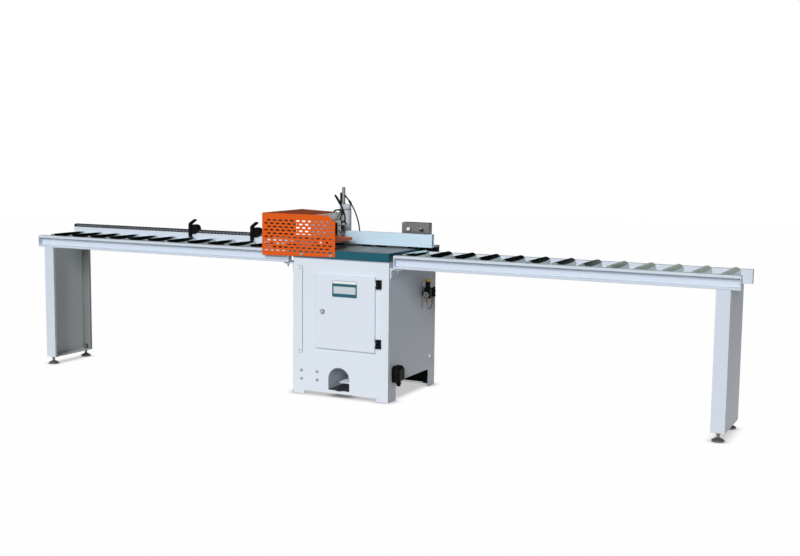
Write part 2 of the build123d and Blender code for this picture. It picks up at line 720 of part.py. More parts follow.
# Roller frames: two channel rails each, fixed axles, an end leg, and a hanger on the cabinet
def frame_span(side):
    """Inner and outer end of a roller frame, side -1 on the left and 1 on the right."""
    inner = side * (CABINET_WIDTH / 2 + FRAME_GAP)
    return inner, inner + side * FRAME_LENGTH


def leg_span(side):
    """Outer and inner edge of a frame's leg."""
    outer = frame_span(side)[1] - side * LEG_INSET
    return outer, outer - side * LEG_WIDTH


def roller_places(side):
    """X of every roller of a frame, from the cabinet outwards."""
    inner = frame_span(side)[0]
    count = LEFT_ROLLERS if side < 0 else RIGHT_ROLLERS
    first = LEFT_ROLLER_FIRST if side < 0 else RIGHT_ROLLER_FIRST
    pitch = (FRAME_LENGTH - first - ROLLER_LAST) / (count - 1)
    return [inner + side * (first + pitch * n) for n in range(count)]


FOOT_PLACES = [(middle(leg_span(side)), y) for side in (-1, 1) for y in FOOT_Y]
HANGER_Y = (FRAME_FRONT + HANGER_INSET, FRAME_BACK - HANGER_INSET)


def rail(side, edge, inward):
    """Channel open to the outside with rounded outer edges, its ends closed."""
    x = ordered(*frame_span(side))
    with BuildPart() as channel:
        slab(x, ordered(edge, edge + inward * RAIL_FLANGE), (RAIL_BOTTOM, RAIL_TOP))
        outer_face = channel.faces().sort_by(Axis.Y)[0 if inward > 0 else -1]
        fillet(outer_face.edges().filter_by(Axis.X), RAIL_ROUND)
        slab((x[0] + RAIL_CAP, x[1] - RAIL_CAP), ordered(edge, edge + inward * RAIL_RECESS),
             (RAIL_BOTTOM + RAIL_LIP, RAIL_TOP - RAIL_BEAD), mode=Mode.SUBTRACT)
    return channel.part


def hanger(side):
    """Angle on the cabinet's side that carries the rails' inner ends."""
    wall = side * CABINET_WIDTH / 2
    with BuildPart() as angle:
        slab(ordered(wall, wall + side * HANGER_PLATE), HANGER_Y, (RAIL_BOTTOM - HANGER_DROP, RAIL_BOTTOM))
        slab(ordered(wall, frame_span(side)[0] + side * HANGER_LENGTH), HANGER_Y,
             (RAIL_BOTTOM - HANGER_SEAT, RAIL_BOTTOM))
    return angle.part


def leg(side):
    """Folded channel, open towards the cabinet, with a tie plate up between the rails."""
    outer, inner = leg_span(side)
    tie_top = AXLE_Z - ROLLER_DIAMETER / 2 - LEG_TIE_GAP
    with BuildPart() as channel:
        slab(ordered(outer, inner), LEG_Y, (LEG_BOTTOM, RAIL_BOTTOM))
        slab(ordered(outer - side * LEG_SHEET, inner), (LEG_Y[0] + LEG_SHEET, LEG_Y[1] - LEG_SHEET),
             (LEG_BOTTOM + LEG_PLATE, RAIL_BOTTOM - LEG_PLATE), mode=Mode.SUBTRACT)
        for lip in ((LEG_Y[0], LEG_Y[0] + LEG_LIP), (LEG_Y[1] - LEG_LIP, LEG_Y[1])):
            slab(ordered(inner, inner + side * LEG_SHEET), lip, (LEG_BOTTOM, RAIL_BOTTOM))
        slab(ordered(outer, outer - side * LEG_SHEET), (INNER_FRONT, INNER_BACK), (RAIL_BOTTOM, tie_top))
        for y in FOOT_Y:
            bar_z(middle((outer, inner)), y, (LEG_BOTTOM, LEG_BOTTOM + LEG_PLATE), FOOT_STUD + 2 * RUN,
                  mode=Mode.SUBTRACT)
    return channel.part


def axle(x):
    """Fixed axle of one roller, between the two rails."""
    with BuildPart() as pin:
        bar_y(x, (INNER_FRONT, INNER_BACK), AXLE_Z, AXLE_DIAMETER)
    return pin.part


def roller(x):
    """Tube with a hub in each end, free on its axle."""
    ends = (INNER_FRONT + ROLLER_GAP, INNER_BACK - ROLLER_GAP)
    with BuildPart() as tube:
        bar_y(x, ends, AXLE_Z, ROLLER_DIAMETER)
        chamfer(tube.edges().filter_by(GeomType.CIRCLE), ROLLER_CHAMFER)
        bar_y(x, (ends[0] + ROLLER_HUB, ends[1] - ROLLER_HUB), AXLE_Z, ROLLER_DIAMETER - 2 * ROLLER_WALL,
              mode=Mode.SUBTRACT)
        bar_y(x, ends, AXLE_Z, AXLE_DIAMETER + 2 * RUN, mode=Mode.SUBTRACT)
    return tube.part


frame_pieces = []
for side in (-1, 1):
    frame_pieces += [rail(side, FRAME_FRONT, 1), rail(side, FRAME_BACK, -1), hanger(side), leg(side)]
    frame_pieces += [axle(x) for x in roller_places(side)]
save_group("roller_frames", frame_pieces)

for side, name in ((-1, "left"), (1, "right")):
    for number, place in enumerate(roller_places(side), start=1):
        save(roller(place), f"{name}_roller_{number:02d}")

# Levelling feet: disc, cone, stud and nut
BASE = (Align.CENTER, Align.CENTER, Align.MIN)
with BuildPart() as levelling_feet:
    with Locations(*[(x, y, 0) for x, y in FOOT_PLACES]):
        Cylinder(FOOT_DISC / 2, FOOT_DISC_HEIGHT, align=BASE)
    with Locations(*[(x, y, FOOT_DISC_HEIGHT) for x, y in FOOT_PLACES]):
        Cone(FOOT_DISC / 2, FOOT_NECK / 2, FOOT_CONE, align=BASE)
        Cylinder(FOOT_STUD / 2, FOOT_STUD_TOP - FOOT_DISC_HEIGHT, align=BASE)
    with BuildSketch(Plane.XY.offset(LEG_BOTTOM - FOOT_NUT_HEIGHT)):
        with Locations(*FOOT_PLACES):
            RegularPolygon(FOOT_NUT / 2, 6, major_radius=False)
    extrude(amount=FOOT_NUT_HEIGHT)
save(levelling_feet.part, "levelling_feet")

# Fences: box section on the table, a short piece left of the blade, and the stop fence on the back rail
STUB_X = (LEFT + STUB_START, LEFT + STUB_START + STUB_LENGTH)
STOP_FENCE_X = (frame_span(-1)[1], frame_span(-1)[0])
with BuildPart() as main_fence:
    slab(FENCE_X, FENCE_Y, (FENCE_BOTTOM, FENCE_TOP))
    fillet(main_fence.edges().filter_by(Axis.X), FENCE_ROUND)
    slab(FENCE_X, (FENCE_Y[0] + FENCE_WALL, FENCE_Y[1] - FENCE_WALL),
         (FENCE_BOTTOM + FENCE_WALL, FENCE_TOP - FENCE_WALL), mode=Mode.SUBTRACT)
with BuildPart() as fence_stub:
    slab(STUB_X, FENCE_Y, (FENCE_BOTTOM, FENCE_TOP))
with BuildPart() as fence_ear:
    slab((FENCE_X[1] - EAR_LENGTH / 2, FENCE_X[1] + EAR_LENGTH / 2), (FENCE_Y[1], FENCE_Y[1] + EAR_REACH),
         (FENCE_BOTTOM + EAR_LIFT, FENCE_BOTTOM + EAR_LIFT + EAR_THICK))
with BuildPart() as stop_fence:
    slab(STOP_FENCE_X, STOP_FENCE_Y, (RAIL_TOP, STOP_FENCE_TOP))
save_group("fences", [main_fence.part, fence_stub.part, fence_ear.part, stop_fence.part])

# Dark pieces of the fences: feet, the bar on the table's side under the ear, the scale rail on the stop fence
fence_mounts = []
for foot_left in [FENCE_X[0] + start for start in FENCE_FOOT_STARTS] + [RIGHT - FENCE_FOOT]:
    with BuildPart() as fence_foot:
        slab((foot_left, foot_left + FENCE_FOOT), FENCE_Y, (TABLE_TOP, FENCE_BOTTOM))
    fence_mounts.append(fence_foot.part)
with BuildPart() as stub_foot:
    slab(STUB_X, FENCE_Y, (TABLE_TOP, FENCE_BOTTOM))
with BuildPart() as fence_bar:
    slab((RIGHT, FENCE_X[1] + FENCE_BAR_OVERHANG),
         (FENCE_Y[1] + FENCE_BAR_BEHIND, FENCE_Y[1] + FENCE_BAR_BEHIND + FENCE_BAR_DEPTH),
         (TABLE_TOP - FENCE_BAR_DROP, FENCE_BOTTOM + EAR_LIFT))
with BuildPart() as scale_rail:
    slab(STOP_FENCE_X, STOP_FENCE_Y, (STOP_FENCE_TOP, SCALE_TOP))
    fillet(scale_rail.edges().filter_by(Axis.Y).group_by(Axis.Z)[-1].sort_by(Axis.X)[0], SCALE_ROUND)
save_group("fence_mounts", [*fence_mounts, stub_foot.part, fence_bar.part, scale_rail.part])

# Length stops: a saddle that slides on the scale rail and a finger that flips up
SADDLE_Y = (STOP_FENCE_Y[0] - STOP_WALL, STOP_FENCE_Y[1] + STOP_WALL)
SADDLE_BOTTOM = STOP_FENCE_TOP - STOP_SKIRT
FINGER_Y = (FENCE_FACE - FINGER_GAP - FINGER_WIDTH, FENCE_FACE - FINGER_GAP)
for number, place in enumerate(STOP_PLACES, start=1):
    block_x = (place, place + STOP_BLOCK)
    knob_x = place + STOP_BLOCK - STOP_KNOB / 2
    knob_z = middle((SADDLE_BOTTOM, SCALE_TOP))
    with BuildPart() as stop_block:
        slab(block_x, SADDLE_Y, (SADDLE_BOTTOM, SCALE_TOP + STOP_RISE))
        fillet(stop_block.edges().filter_by(Axis.Y).sort_by(Axis.X)[-2:], STOP_ROUND)
        slab(block_x, (STOP_FENCE_Y[0] - RUN, STOP_FENCE_Y[1] + RUN), (SADDLE_BOTTOM, SCALE_TOP + RUN),
             mode=Mode.SUBTRACT)
        bar_y(knob_x, (SADDLE_Y[1], SADDLE_Y[1] + STOP_KNOB_NECK), knob_z, STOP_PIN)
        bar_y(knob_x, (SADDLE_Y[1] + STOP_KNOB_NECK, SADDLE_Y[1] + STOP_KNOB_NECK + STOP_KNOB_LENGTH),
              knob_z, STOP_KNOB)
        bar_x((place - FINGER_THICK - STOP_PIN_REACH, place), FINGER_AXIS_Y, FINGER_AXIS_Z, STOP_PIN)
    save(stop_block.part, f"stop_block_{number}")
    finger_x = (place - FINGER_THICK - PLAY, place - PLAY)
    boss_low = FINGER_AXIS_Z - STOP_BOSS / 2 + 1
    neck_back = FINGER_Y[1] + FINGER_WIDTH / 2
    with BuildPart() as stop_finger:
        with BuildSketch(side_plane(finger_x[0])):
            with BuildLine():
                Polyline(
                    (FINGER_Y[0], RAIL_TOP + FINGER_TIP),
                    (FINGER_Y[1], RAIL_TOP + FINGER_TIP),
                    (FINGER_Y[1], boss_low),
                    (FINGER_AXIS_Y, boss_low),
                    (FINGER_AXIS_Y, FINGER_AXIS_Z + STOP_BOSS / 2),
                    (neck_back, FINGER_AXIS_Z + STOP_BOSS / 2),
                    (neck_back, FINGER_AXIS_Z + FINGER_TOP - HOOK_THICK),
                    (FINGER_AXIS_Y + HOOK_REACH, FINGER_AXIS_Z + HOOK_RISE - HOOK_THICK),
                    (FINGER_AXIS_Y + HOOK_REACH, FINGER_AXIS_Z + HOOK_RISE),
                    (FINGER_Y[1], FINGER_AXIS_Z + FINGER_TOP),
                    (FINGER_Y[0], FINGER_AXIS_Z + FINGER_TOP - HOOK_THICK),
                    close=True,
                )
            make_face()
            with Locations((FINGER_AXIS_Y, FINGER_AXIS_Z)):
                Circle(STOP_BOSS / 2)
                Circle(STOP_PIN / 2 + RUN, mode=Mode.SUBTRACT)
        extrude(amount=FINGER_THICK)
    save(stop_finger.part, f"stop_finger_{number}")

# Blade hood: perforated front on the table's edge, roof and left wall, open at the back and the right
HOOD_X = (LEFT - HOOD_LEFT_REACH, LEFT - HOOD_LEFT_REACH + HOOD_FRONT_LENGTH)
ROOF_X = (HOOD_X[0], HOOD_X[0] + HOOD_ROOF_LENGTH)
ROOF_BACK_LEFT = TABLE_FRONT + HOOD_LEFT_DEPTH
ROOF_BACK_RIGHT = TABLE_FRONT + HOOD_DEPTH
ROOF_Z = (HOOD_TOP - HOOD_SHEET, HOOD_TOP)
SLOT_PLACES = [
    (HOOD_X[0] + SLOT_EDGE + SLOT_PITCH_X * (column + (1 - row % 2) / 2), HOOD_TOP - SLOT_HEAD - SLOT_PITCH_Z * row)
    for row in range(SLOT_ROWS)
    for column in range(SLOTS_IN_ROW - (1 - row % 2))
]
with BuildPart() as hood_front:
    with BuildSketch(front_plane(TABLE_FRONT)):
        with BuildLine():
            Polyline(
                (HOOD_X[0], CABINET_HEIGHT),
                (HOOD_X[1], CABINET_HEIGHT + HOOD_EDGE_RISE),
                (HOOD_X[1], HOOD_TOP - HOOD_CHAMFER_Z),
                (HOOD_X[1] - HOOD_CHAMFER_X, HOOD_TOP),
                (HOOD_X[0], HOOD_TOP),
                close=True,
            )
        make_face()
        with Locations(*SLOT_PLACES):
            SlotOverall(SLOT_HOLE_LENGTH, SLOT_HOLE_WIDTH, mode=Mode.SUBTRACT)
    extrude(amount=HOOD_SHEET)
with BuildPart() as hood_roof:
    with BuildSketch(Plane.XY.offset(ROOF_Z[0])):
        with BuildLine():
            Polyline(
                (ROOF_X[0], TABLE_FRONT),
                (ROOF_X[1], TABLE_FRONT),
                (ROOF_X[1], ROOF_BACK_RIGHT),
                (ROOF_X[0], ROOF_BACK_LEFT),
                close=True,
            )
        make_face()
    extrude(amount=HOOD_SHEET)
with BuildPart() as hood_wall:
    slab((HOOD_X[0], HOOD_X[0] + HOOD_SHEET), (TABLE_FRONT, TABLE_FRONT + HOOD_WALL_DEPTH),
         (HOOD_WALL_BOTTOM, ROOF_Z[0]))
save_group("blade_hood", [hood_front.part, hood_roof.part, hood_wall.part])

SIDE_PLATE_X = (ROOF_X[1] - SIDE_PLATE_INSET - SIDE_PLATE, ROOF_X[1] - SIDE_PLATE_INSET)
with BuildPart() as hood_side_plate:
    slab(SIDE_PLATE_X, (TABLE_FRONT, TABLE_FRONT + SIDE_PLATE_DEPTH), (SIDE_PLATE_BOTTOM, ROOF_Z[0]))
    slab(SIDE_PLATE_X, (TABLE_FRONT, TABLE_FRONT + SIDE_PLATE_TOP_DEPTH),
         (FENCE_TOP + SIDE_PLATE_OVER_FENCE, ROOF_Z[0]))
save(hood_side_plate.part, "hood_side_plate")

# Blade
TOOTH_STEP = 2 * math.pi / BLADE_TEETH
TOOTH_PROFILE = ((0, BLADE_DIAMETER / 2), (0.35, BLADE_DIAMETER / 2 - 1), (0.75, BLADE_DIAMETER / 2 - TOOTH_DEPTH),
                 (0.9, BLADE_DIAMETER / 2 - TOOTH_DEPTH))
tooth_points = [
    (ARBOR_Y + radius * math.cos(TOOTH_STEP * (tooth + share)), ARBOR_Z + radius * math.sin(TOOTH_STEP * (tooth + share)))
    for tooth in range(BLADE_TEETH)
    for share, radius in TOOTH_PROFILE
]
with BuildPart() as blade:
    with BuildSketch(side_plane(BLADE_X - BLADE_BODY / 2)):
        with BuildLine():
            Polyline(*tooth_points, close=True)
        make_face()
        with Locations((ARBOR_Y, ARBOR_Z)):
            Circle(ARBOR_DIAMETER / 2 + RUN, mode=Mode.SUBTRACT)
    extrude(amount=BLADE_BODY)
save(blade.part, "blade")


# Arbor: shaft, inner and outer flange, nut, grooved pulley
def grooved_pulley(y, z, diameter):
    """Pulley with two belt grooves, on the saw unit's belt line."""
    bar_x(PULLEY_X, y, z, diameter)
    for centre in BELT_CENTRES:
        bar_x(about(centre, GROOVE_WIDTH), y, z, diameter, mode=Mode.SUBTRACT)
        bar_x(about(centre, GROOVE_WIDTH), y, z, diameter - 2 * GROOVE_DEPTH)


BELT_CENTRES = (middle(PULLEY_X) - GROOVE_PITCH / 2, middle(PULLEY_X) + GROOVE_PITCH / 2)
OUTER_FLANGE_X = (BLADE_X - BLADE_BODY / 2 - FLANGE_THICK, BLADE_X - BLADE_BODY / 2)
INNER_FLANGE_X = (BLADE_X + BLADE_BODY / 2, BLADE_X + BLADE_BODY / 2 + FLANGE_THICK)
with BuildPart() as arbor_shaft:
    grooved_pulley(ARBOR_Y, ARBOR_Z, ARBOR_PULLEY)
    bar_x((OUTER_FLANGE_X[0] - NUT_LENGTH, PULLEY_X[1]), ARBOR_Y, ARBOR_Z, ARBOR_DIAMETER)
    bar_x(OUTER_FLANGE_X, ARBOR_Y, ARBOR_Z, FLANGE_DIAMETER)
    bar_x(INNER_FLANGE_X, ARBOR_Y, ARBOR_Z, FLANGE_DIAMETER)
    with BuildSketch(side_plane(OUTER_FLANGE_X[0] - NUT_LENGTH)):
        with Locations((ARBOR_Y, ARBOR_Z)):
            RegularPolygon(NUT_DIAMETER / 2, 6, major_radius=False)
    extrude(amount=NUT_LENGTH)
save(arbor_shaft.part, "arbor_shaft")

# Swing arm: pivot shaft, two webs, bearing housing, motor cradle, pin for the feed rod's eye
FEED_REST = math.radians(FEED_SWING / 2)
LUG_Y = PIVOT_Y - FEED_RADIUS * math.cos(FEED_REST)
LUG_Z = PIVOT_Z - FEED_RADIUS * math.sin(FEED_REST)
LUG_SHIFT = FEED_RADIUS * (1 - math.cos(FEED_REST))
FEED_Y = LUG_Y - LUG_SHIFT / 2
with BuildPart() as swing_arm:
    bar_x((ARM_X[0][0], BRACKET_X[1][1] + PLAY), PIVOT_Y, PIVOT_Z, PIVOT_DIAMETER)
    for span in ARM_X:
        with BuildSketch(side_plane(span[0])):
            with Locations((PIVOT_Y, PIVOT_Z)):
                Circle(ARM_PIVOT_RADIUS)
            with Locations((ARBOR_Y, ARBOR_Z)):
                Circle(HOUSING_DIAMETER / 2)
            make_hull()
        extrude(amount=ARM_PLATE)
    bar_x(HOUSING_X, ARBOR_Y, ARBOR_Z, HOUSING_DIAMETER)
    bar_x(HOUSING_X, ARBOR_Y, ARBOR_Z, ARBOR_DIAMETER + 2 * RUN, mode=Mode.SUBTRACT)
    bar_x((HOUSING_X[0] + BEARING_LAND, HOUSING_X[1] - BEARING_LAND), ARBOR_Y, ARBOR_Z, HOUSING_RELIEF,
          mode=Mode.SUBTRACT)
    for span in CRADLE_X:
        with BuildSketch(side_plane(span[0])):
            with Locations((PIVOT_Y, PIVOT_Z)):
                Circle(CRADLE_PIVOT_RADIUS)
            with Locations((MOTOR_Y, MOTOR_Z)):
                Circle(MOTOR_DIAMETER / 2 + CRADLE_WALL)
            make_hull()
            with Locations((MOTOR_Y, MOTOR_Z)):
                Circle(MOTOR_DIAMETER / 2 + RUN, mode=Mode.SUBTRACT)
        extrude(amount=CRADLE_PLATE)
    bar_x((ARM_X[0][0], ARM_X[1][1]), LUG_Y, LUG_Z, FEED_PIN)
save(swing_arm.part, "swing_arm")

# Motor, its pulley and the belts
with BuildPart() as motor:
    bar_x(MOTOR_X, MOTOR_Y, MOTOR_Z, MOTOR_DIAMETER)
    bar_x((MOTOR_X[0], MOTOR_X[0] + MOTOR_SHAFT_DEPTH), MOTOR_Y, MOTOR_Z, MOTOR_SHAFT + 2 * RUN,
          mode=Mode.SUBTRACT)
save(motor.part, "motor")

with BuildPart() as motor_pulley:
    grooved_pulley(MOTOR_Y, MOTOR_Z, MOTOR_PULLEY)
    bar_x((PULLEY_X[0], MOTOR_X[0] + MOTOR_SHAFT_DEPTH - PLAY), MOTOR_Y, MOTOR_Z, MOTOR_SHAFT)
save(motor_pulley.part, "motor_pulley")


def belt_outline(grow):
    """Line of a belt round both pulleys, a distance above the groove floors."""
    for y, z, diameter in ((ARBOR_Y, ARBOR_Z, ARBOR_PULLEY), (MOTOR_Y, MOTOR_Z, MOTOR_PULLEY)):
        with Locations((y, z)):
            Circle(diameter / 2 - GROOVE_DEPTH + grow)


belts = []
for centre in BELT_CENTRES:
    width = GROOVE_WIDTH - 2 * BELT_PLAY
    with BuildPart() as belt:
        with BuildSketch(side_plane(centre - width / 2)):
            belt_outline(BELT_PLAY + BELT_THICK)
            make_hull()
        extrude(amount=width)
        with BuildSketch(side_plane(centre - width / 2)):
            belt_outline(BELT_PLAY)
            make_hull()
        extrude(amount=width, mode=Mode.SUBTRACT)
    belts.append(belt.part)
save_group("drive_belts", belts)

# Feed cylinder on the cross beam
BARREL_Z = (BEAM_TOP + CYLINDER_HEAD_HEIGHT, CYLINDER_TOP - CYLINDER_HEAD_HEIGHT)
with BuildPart() as feed_cylinder:
    for head in ((BEAM_TOP, BARREL_Z[0]), (BARREL_Z[1], CYLINDER_TOP)):
        slab(about(FEED_X, CYLINDER_HEAD), about(FEED_Y, CYLINDER_HEAD), head)
    bar_z(FEED_X, FEED_Y, BARREL_Z, CYLINDER_BORE + 2 * CYLINDER_WALL)
    bar_z(FEED_X, FEED_Y, BARREL_Z, CYLINDER_BORE, mode=Mode.SUBTRACT)
    bar_z(FEED_X, FEED_Y, (BARREL_Z[1], CYLINDER_TOP), FEED_ROD + 2 * RUN, mode=Mode.SUBTRACT)
save(feed_cylinder.part, "feed_cylinder")

# Feed rod: piston, rod and the slotted eye round the arm's pin
EYE_INNER = FEED_PIN / 2 + FEED_PIN_PLAY
EYE_SPREAD = LUG_SHIFT + 2 * FEED_PIN_PLAY
PISTON_Z = (BARREL_Z[0] + PISTON_GAP, BARREL_Z[0] + PISTON_GAP + PISTON_HEIGHT)
with BuildPart() as feed_rod:
    bar_z(FEED_X, FEED_Y, PISTON_Z, CYLINDER_BORE - 2 * RUN)
    bar_z(FEED_X, FEED_Y, (PISTON_Z[0], LUG_Z - EYE_INNER - EYE_WALL / 2), FEED_ROD)
    with BuildSketch(side_plane(FEED_X - EYE_LENGTH / 2)):
        with Locations((FEED_Y, LUG_Z)):
            SlotCenterToCenter(EYE_SPREAD, 2 * (EYE_INNER + EYE_WALL))
            SlotCenterToCenter(EYE_SPREAD, 2 * EYE_INNER, mode=Mode.SUBTRACT)
    extrude(amount=EYE_LENGTH)
save(feed_rod.part, "feed_rod")

# Hold-down clamp: column behind the fence, cap, rod, arm and head
HEAD_X = about(CLAMP_X, CLAMP_HEAD)
HEAD_Y = about(CLAMP_Y, CLAMP_HEAD)
ARM_TOP = CLAMP_HEAD_TOP - ARM_TOP_DROP
LEVER_X = HEAD_X[1] + LEVER_REACH
LEVER_Y = (CLAMP_Y - LEVER_HUB / 2, CLAMP_Y + LEVER_HUB / 2)
hose_start = Vector(*HOSE_ROUTE[0])
hose_out = (Vector(*HOSE_ROUTE[1]) - hose_start).normalized()
with BuildPart() as clamp_column:
    bar_z(COLUMN_X, COLUMN_Y, (TABLE_TOP, COLUMN_TOP + COLUMN_CAP), COLUMN_CAP_DIAMETER - 2 * COLUMN_GROOVE)
    bar_z(COLUMN_X, COLUMN_Y, (TABLE_TOP, COLUMN_TOP - COLUMN_GROOVE), COLUMN_DIAMETER)
    bar_z(COLUMN_X, COLUMN_Y, (COLUMN_TOP, COLUMN_TOP + COLUMN_CAP), COLUMN_CAP_DIAMETER)
    chamfer(clamp_column.faces().sort_by(Axis.Z)[-1].edges(), COLUMN_GROOVE)
    bar_z(COLUMN_X - COLUMN_ROD_SIDE, COLUMN_Y, (COLUMN_TOP, COLUMN_ROD_TOP), COLUMN_ROD)
    bar_z(COLUMN_X - COLUMN_PIN_SIDE, COLUMN_Y, (COLUMN_TOP, COLUMN_PIN_TOP), COLUMN_PIN)
    slab(about(CLAMP_X - ARM_SIDE, ARM_WIDTH), (HEAD_Y[1], COLUMN_Y), (ARM_TOP - ARM_HEIGHT, ARM_TOP))
    slab(HEAD_X, HEAD_Y, (CLAMP_HEAD_BOTTOM, CLAMP_HEAD_TOP))
    bar_z(CLAMP_X, CLAMP_Y, (CLAMP_HEAD_BOTTOM, CLAMP_HEAD_TOP - CLAMP_ROOF), CLAMP_ROD + 2 * RUN, mode=Mode.SUBTRACT)
    # ears and pin of the hand lever
    for ear in ((LEVER_Y[0] - PLAY - LEVER_EAR, LEVER_Y[0] - PLAY), (LEVER_Y[1] + PLAY, LEVER_Y[1] + PLAY + LEVER_EAR)):
        slab((HEAD_X[1], LEVER_X), ear, about(LEVER_Z, LEVER_HUB))
        bar_y(LEVER_X, ear, LEVER_Z, LEVER_HUB)
    bar_y(LEVER_X, (LEVER_Y[0] - PLAY, LEVER_Y[1] + PLAY), LEVER_Z, LEVER_PIN)
    # hose fitting on the rod
    with BuildSketch(Plane(origin=hose_start, z_dir=hose_out)):
        Circle(HOSE_FITTING / 2)
    extrude(amount=-HOSE_FITTING_LENGTH)
with BuildPart() as hose_socket:
    bar_z(HOSE_ROUTE[-1][0], HOSE_ROUTE[-1][1], (TABLE_TOP, HOSE_ROUTE[-1][2]), HOSE_SOCKET)
save_group("clamp_column", [clamp_column.part, hose_socket.part])

# Presser plate on its rod
PRESSER_X = (LEFT + PRESSER_LEFT, LEFT + PRESSER_LEFT + PRESSER_WIDTH)
PRESSER_Y = (TABLE_FRONT + PRESSER_FRONT, FENCE_FACE - PRESSER_GAP)
with BuildPart() as clamp_foot:
    with BuildSketch(Plane.XY.offset(PRESSER_TOP - PRESSER_THICK)):
        with BuildLine():
            Polyline(
                (PRESSER_X[0], PRESSER_Y[0]),
                (PRESSER_X[1], PRESSER_Y[0]),
                (PRESSER_X[1], PRESSER_Y[1] - PRESSER_SLANT),
                (PRESSER_X[0], PRESSER_Y[1]),
                close=True,
            )
        make_face()
    extrude(amount=PRESSER_THICK)
    bar_z(CLAMP_X, CLAMP_Y, (PRESSER_TOP, PRESSER_TOP + CLAMP_ROD_LENGTH), CLAMP_ROD)
save(clamp_foot.part, "clamp_foot")

# Hand lever: hub on the pin, bent stem, straight grip
lever_points = [(LEVER_X, LEVER_Z)] + [(LEVER_X + dx, LEVER_Z + dz) for dx, dz in LEVER_STEPS]
grip_start = Vector(lever_points[-2][0], CLAMP_Y, lever_points[-2][1])
grip_end = Vector(lever_points[-1][0], CLAMP_Y, lever_points[-1][1])
with BuildPart() as clamp_lever:
    with BuildLine(front_plane(CLAMP_Y)) as lever_line:
        FilletPolyline(*lever_points, radius=LEVER_BEND)
    with BuildSketch(Plane(origin=lever_line.line @ 0, z_dir=lever_line.line % 0)):
        Circle(LEVER_STEM / 2)
    sweep()
    with BuildSketch(Plane(origin=grip_start, z_dir=grip_end - grip_start)):
        Circle(LEVER_GRIP / 2)
    extrude(amount=(grip_end - grip_start).length)
    bar_y(LEVER_X, LEVER_Y, LEVER_Z, LEVER_HUB)
    bar_y(LEVER_X, LEVER_Y, LEVER_Z, LEVER_PIN + 2 * RUN, mode=Mode.SUBTRACT)
save(clamp_lever.part, "clamp_lever")


# Air hose: straight runs joined by arcs as large as the runs allow
def route_radii(points):
    """Bend radius at each inner point of a route."""
    vectors = [Vector(*point) for point in points]
    radii = []
    for before, here, after in zip(vectors, vectors[1:], vectors[2:]):
        first = here - before
        second = after - here
        half_turn = math.radians(first.get_angle(second)) / 2
        radii.append(0.45 * min(first.length, second.length) / math.tan(half_turn))
    return radii


hose_radii = route_radii(HOSE_ROUTE)
with BuildPart() as clamp_hose:
    with BuildLine() as hose_line:
        FilletPolyline(*HOSE_ROUTE, radius=hose_radii)
    with BuildSketch(Plane(origin=hose_line.line @ 0, z_dir=hose_line.line % 0)):
        Circle(HOSE_DIAMETER / 2)
    sweep()
hose_length = hose_line.wires()[0].length
print("hose length", round(hose_length, 1), "radii", [round(radius) for radius in hose_radii])
print("hose volume", round(clamp_hose.part.volume),
      "section times length", round(math.pi * HOSE_DIAMETER ** 2 / 4 * hose_length))
save(clamp_hose.part, "clamp_hose")

# Door: folded pan with a knuckle for each hinge
KNUCKLE_GAP = HINGE_KNUCKLE_HEIGHT + 2 * PLAY
with BuildPart() as door:
    slab(DOOR_X, DOOR_Y, DOOR_Z)
    fillet(door.faces().sort_by(Axis.Y)[0].edges(), DOOR_ROUND)
    slab((DOOR_X[0] + DOOR_SHEET, DOOR_X[1] - DOOR_SHEET), (DOOR_Y[0] + DOOR_SHEET, DOOR_Y[1]),
         (DOOR_Z[0] + DOOR_SHEET, DOOR_Z[1] - DOOR_SHEET), mode=Mode.SUBTRACT)
    for z in HINGE_HEIGHTS:
        slab((DOOR_X[1] - DOOR_SHEET, HINGE_X), about(HINGE_Y, HINGE_PIN), about(z, HINGE_KNUCKLE_HEIGHT))
        bar_z(HINGE_X, HINGE_Y, about(z, HINGE_KNUCKLE_HEIGHT), HINGE_KNUCKLE)
        bar_z(HINGE_X, HINGE_Y, about(z, HINGE_KNUCKLE_HEIGHT), HINGE_PIN + 2 * RUN, mode=Mode.SUBTRACT)
    bar_y(LOCK_X, (DOOR_Y[0], DOOR_Y[0] + DOOR_SHEET), LOCK_Z, LOCK_SHAFT + 2 * RUN, mode=Mode.SUBTRACT)
save(door.part, "door")

# Door lock: round head, shaft and cam
CAM_Y = (FRONT + SHEET + PLAY, FRONT + SHEET + PLAY + CAM_THICK)
with BuildPart() as door_lock:
    bar_y(LOCK_X, (DOOR_Y[0] - LOCK_HEIGHT, DOOR_Y[0] - RUN), LOCK_Z, LOCK_DIAMETER)
    bar_y(LOCK_X, (DOOR_Y[0] - LOCK_HEIGHT, CAM_Y[1]), LOCK_Z, LOCK_SHAFT)
    slab((LOCK_X - CAM_LENGTH, LOCK_X), CAM_Y, about(LOCK_Z, CAM_WIDTH))
save(door_lock.part, "door_lock")

# Dark fittings on the cabinet: fixed hinge leaves with their pins, power inlet
LEAF_X = (HINGE_X + HINGE_LEAF_GAP, HINGE_X + HINGE_LEAF_GAP + HINGE_LEAF)
LEAF_Y = (FRONT - HINGE_LEAF_DEPTH, FRONT)
fittings = []
for z in HINGE_HEIGHTS:
    leaf_z = about(z, HINGE_HEIGHT)
    with BuildPart() as hinge_leaf:
        slab(LEAF_X, LEAF_Y, leaf_z)
        for ends in ((leaf_z[0], z - KNUCKLE_GAP / 2), (z + KNUCKLE_GAP / 2, leaf_z[1])):
            bar_z(HINGE_X, HINGE_Y, ends, HINGE_KNUCKLE)
            slab((HINGE_X, LEAF_X[0]), about(HINGE_Y, HINGE_PIN), ends)
        bar_z(HINGE_X, HINGE_Y, leaf_z, HINGE_PIN)
    fittings.append(hinge_leaf.part)
INLET_Y = (FRONT + INLET_SETBACK, FRONT + INLET_SETBACK + INLET_WIDTH)
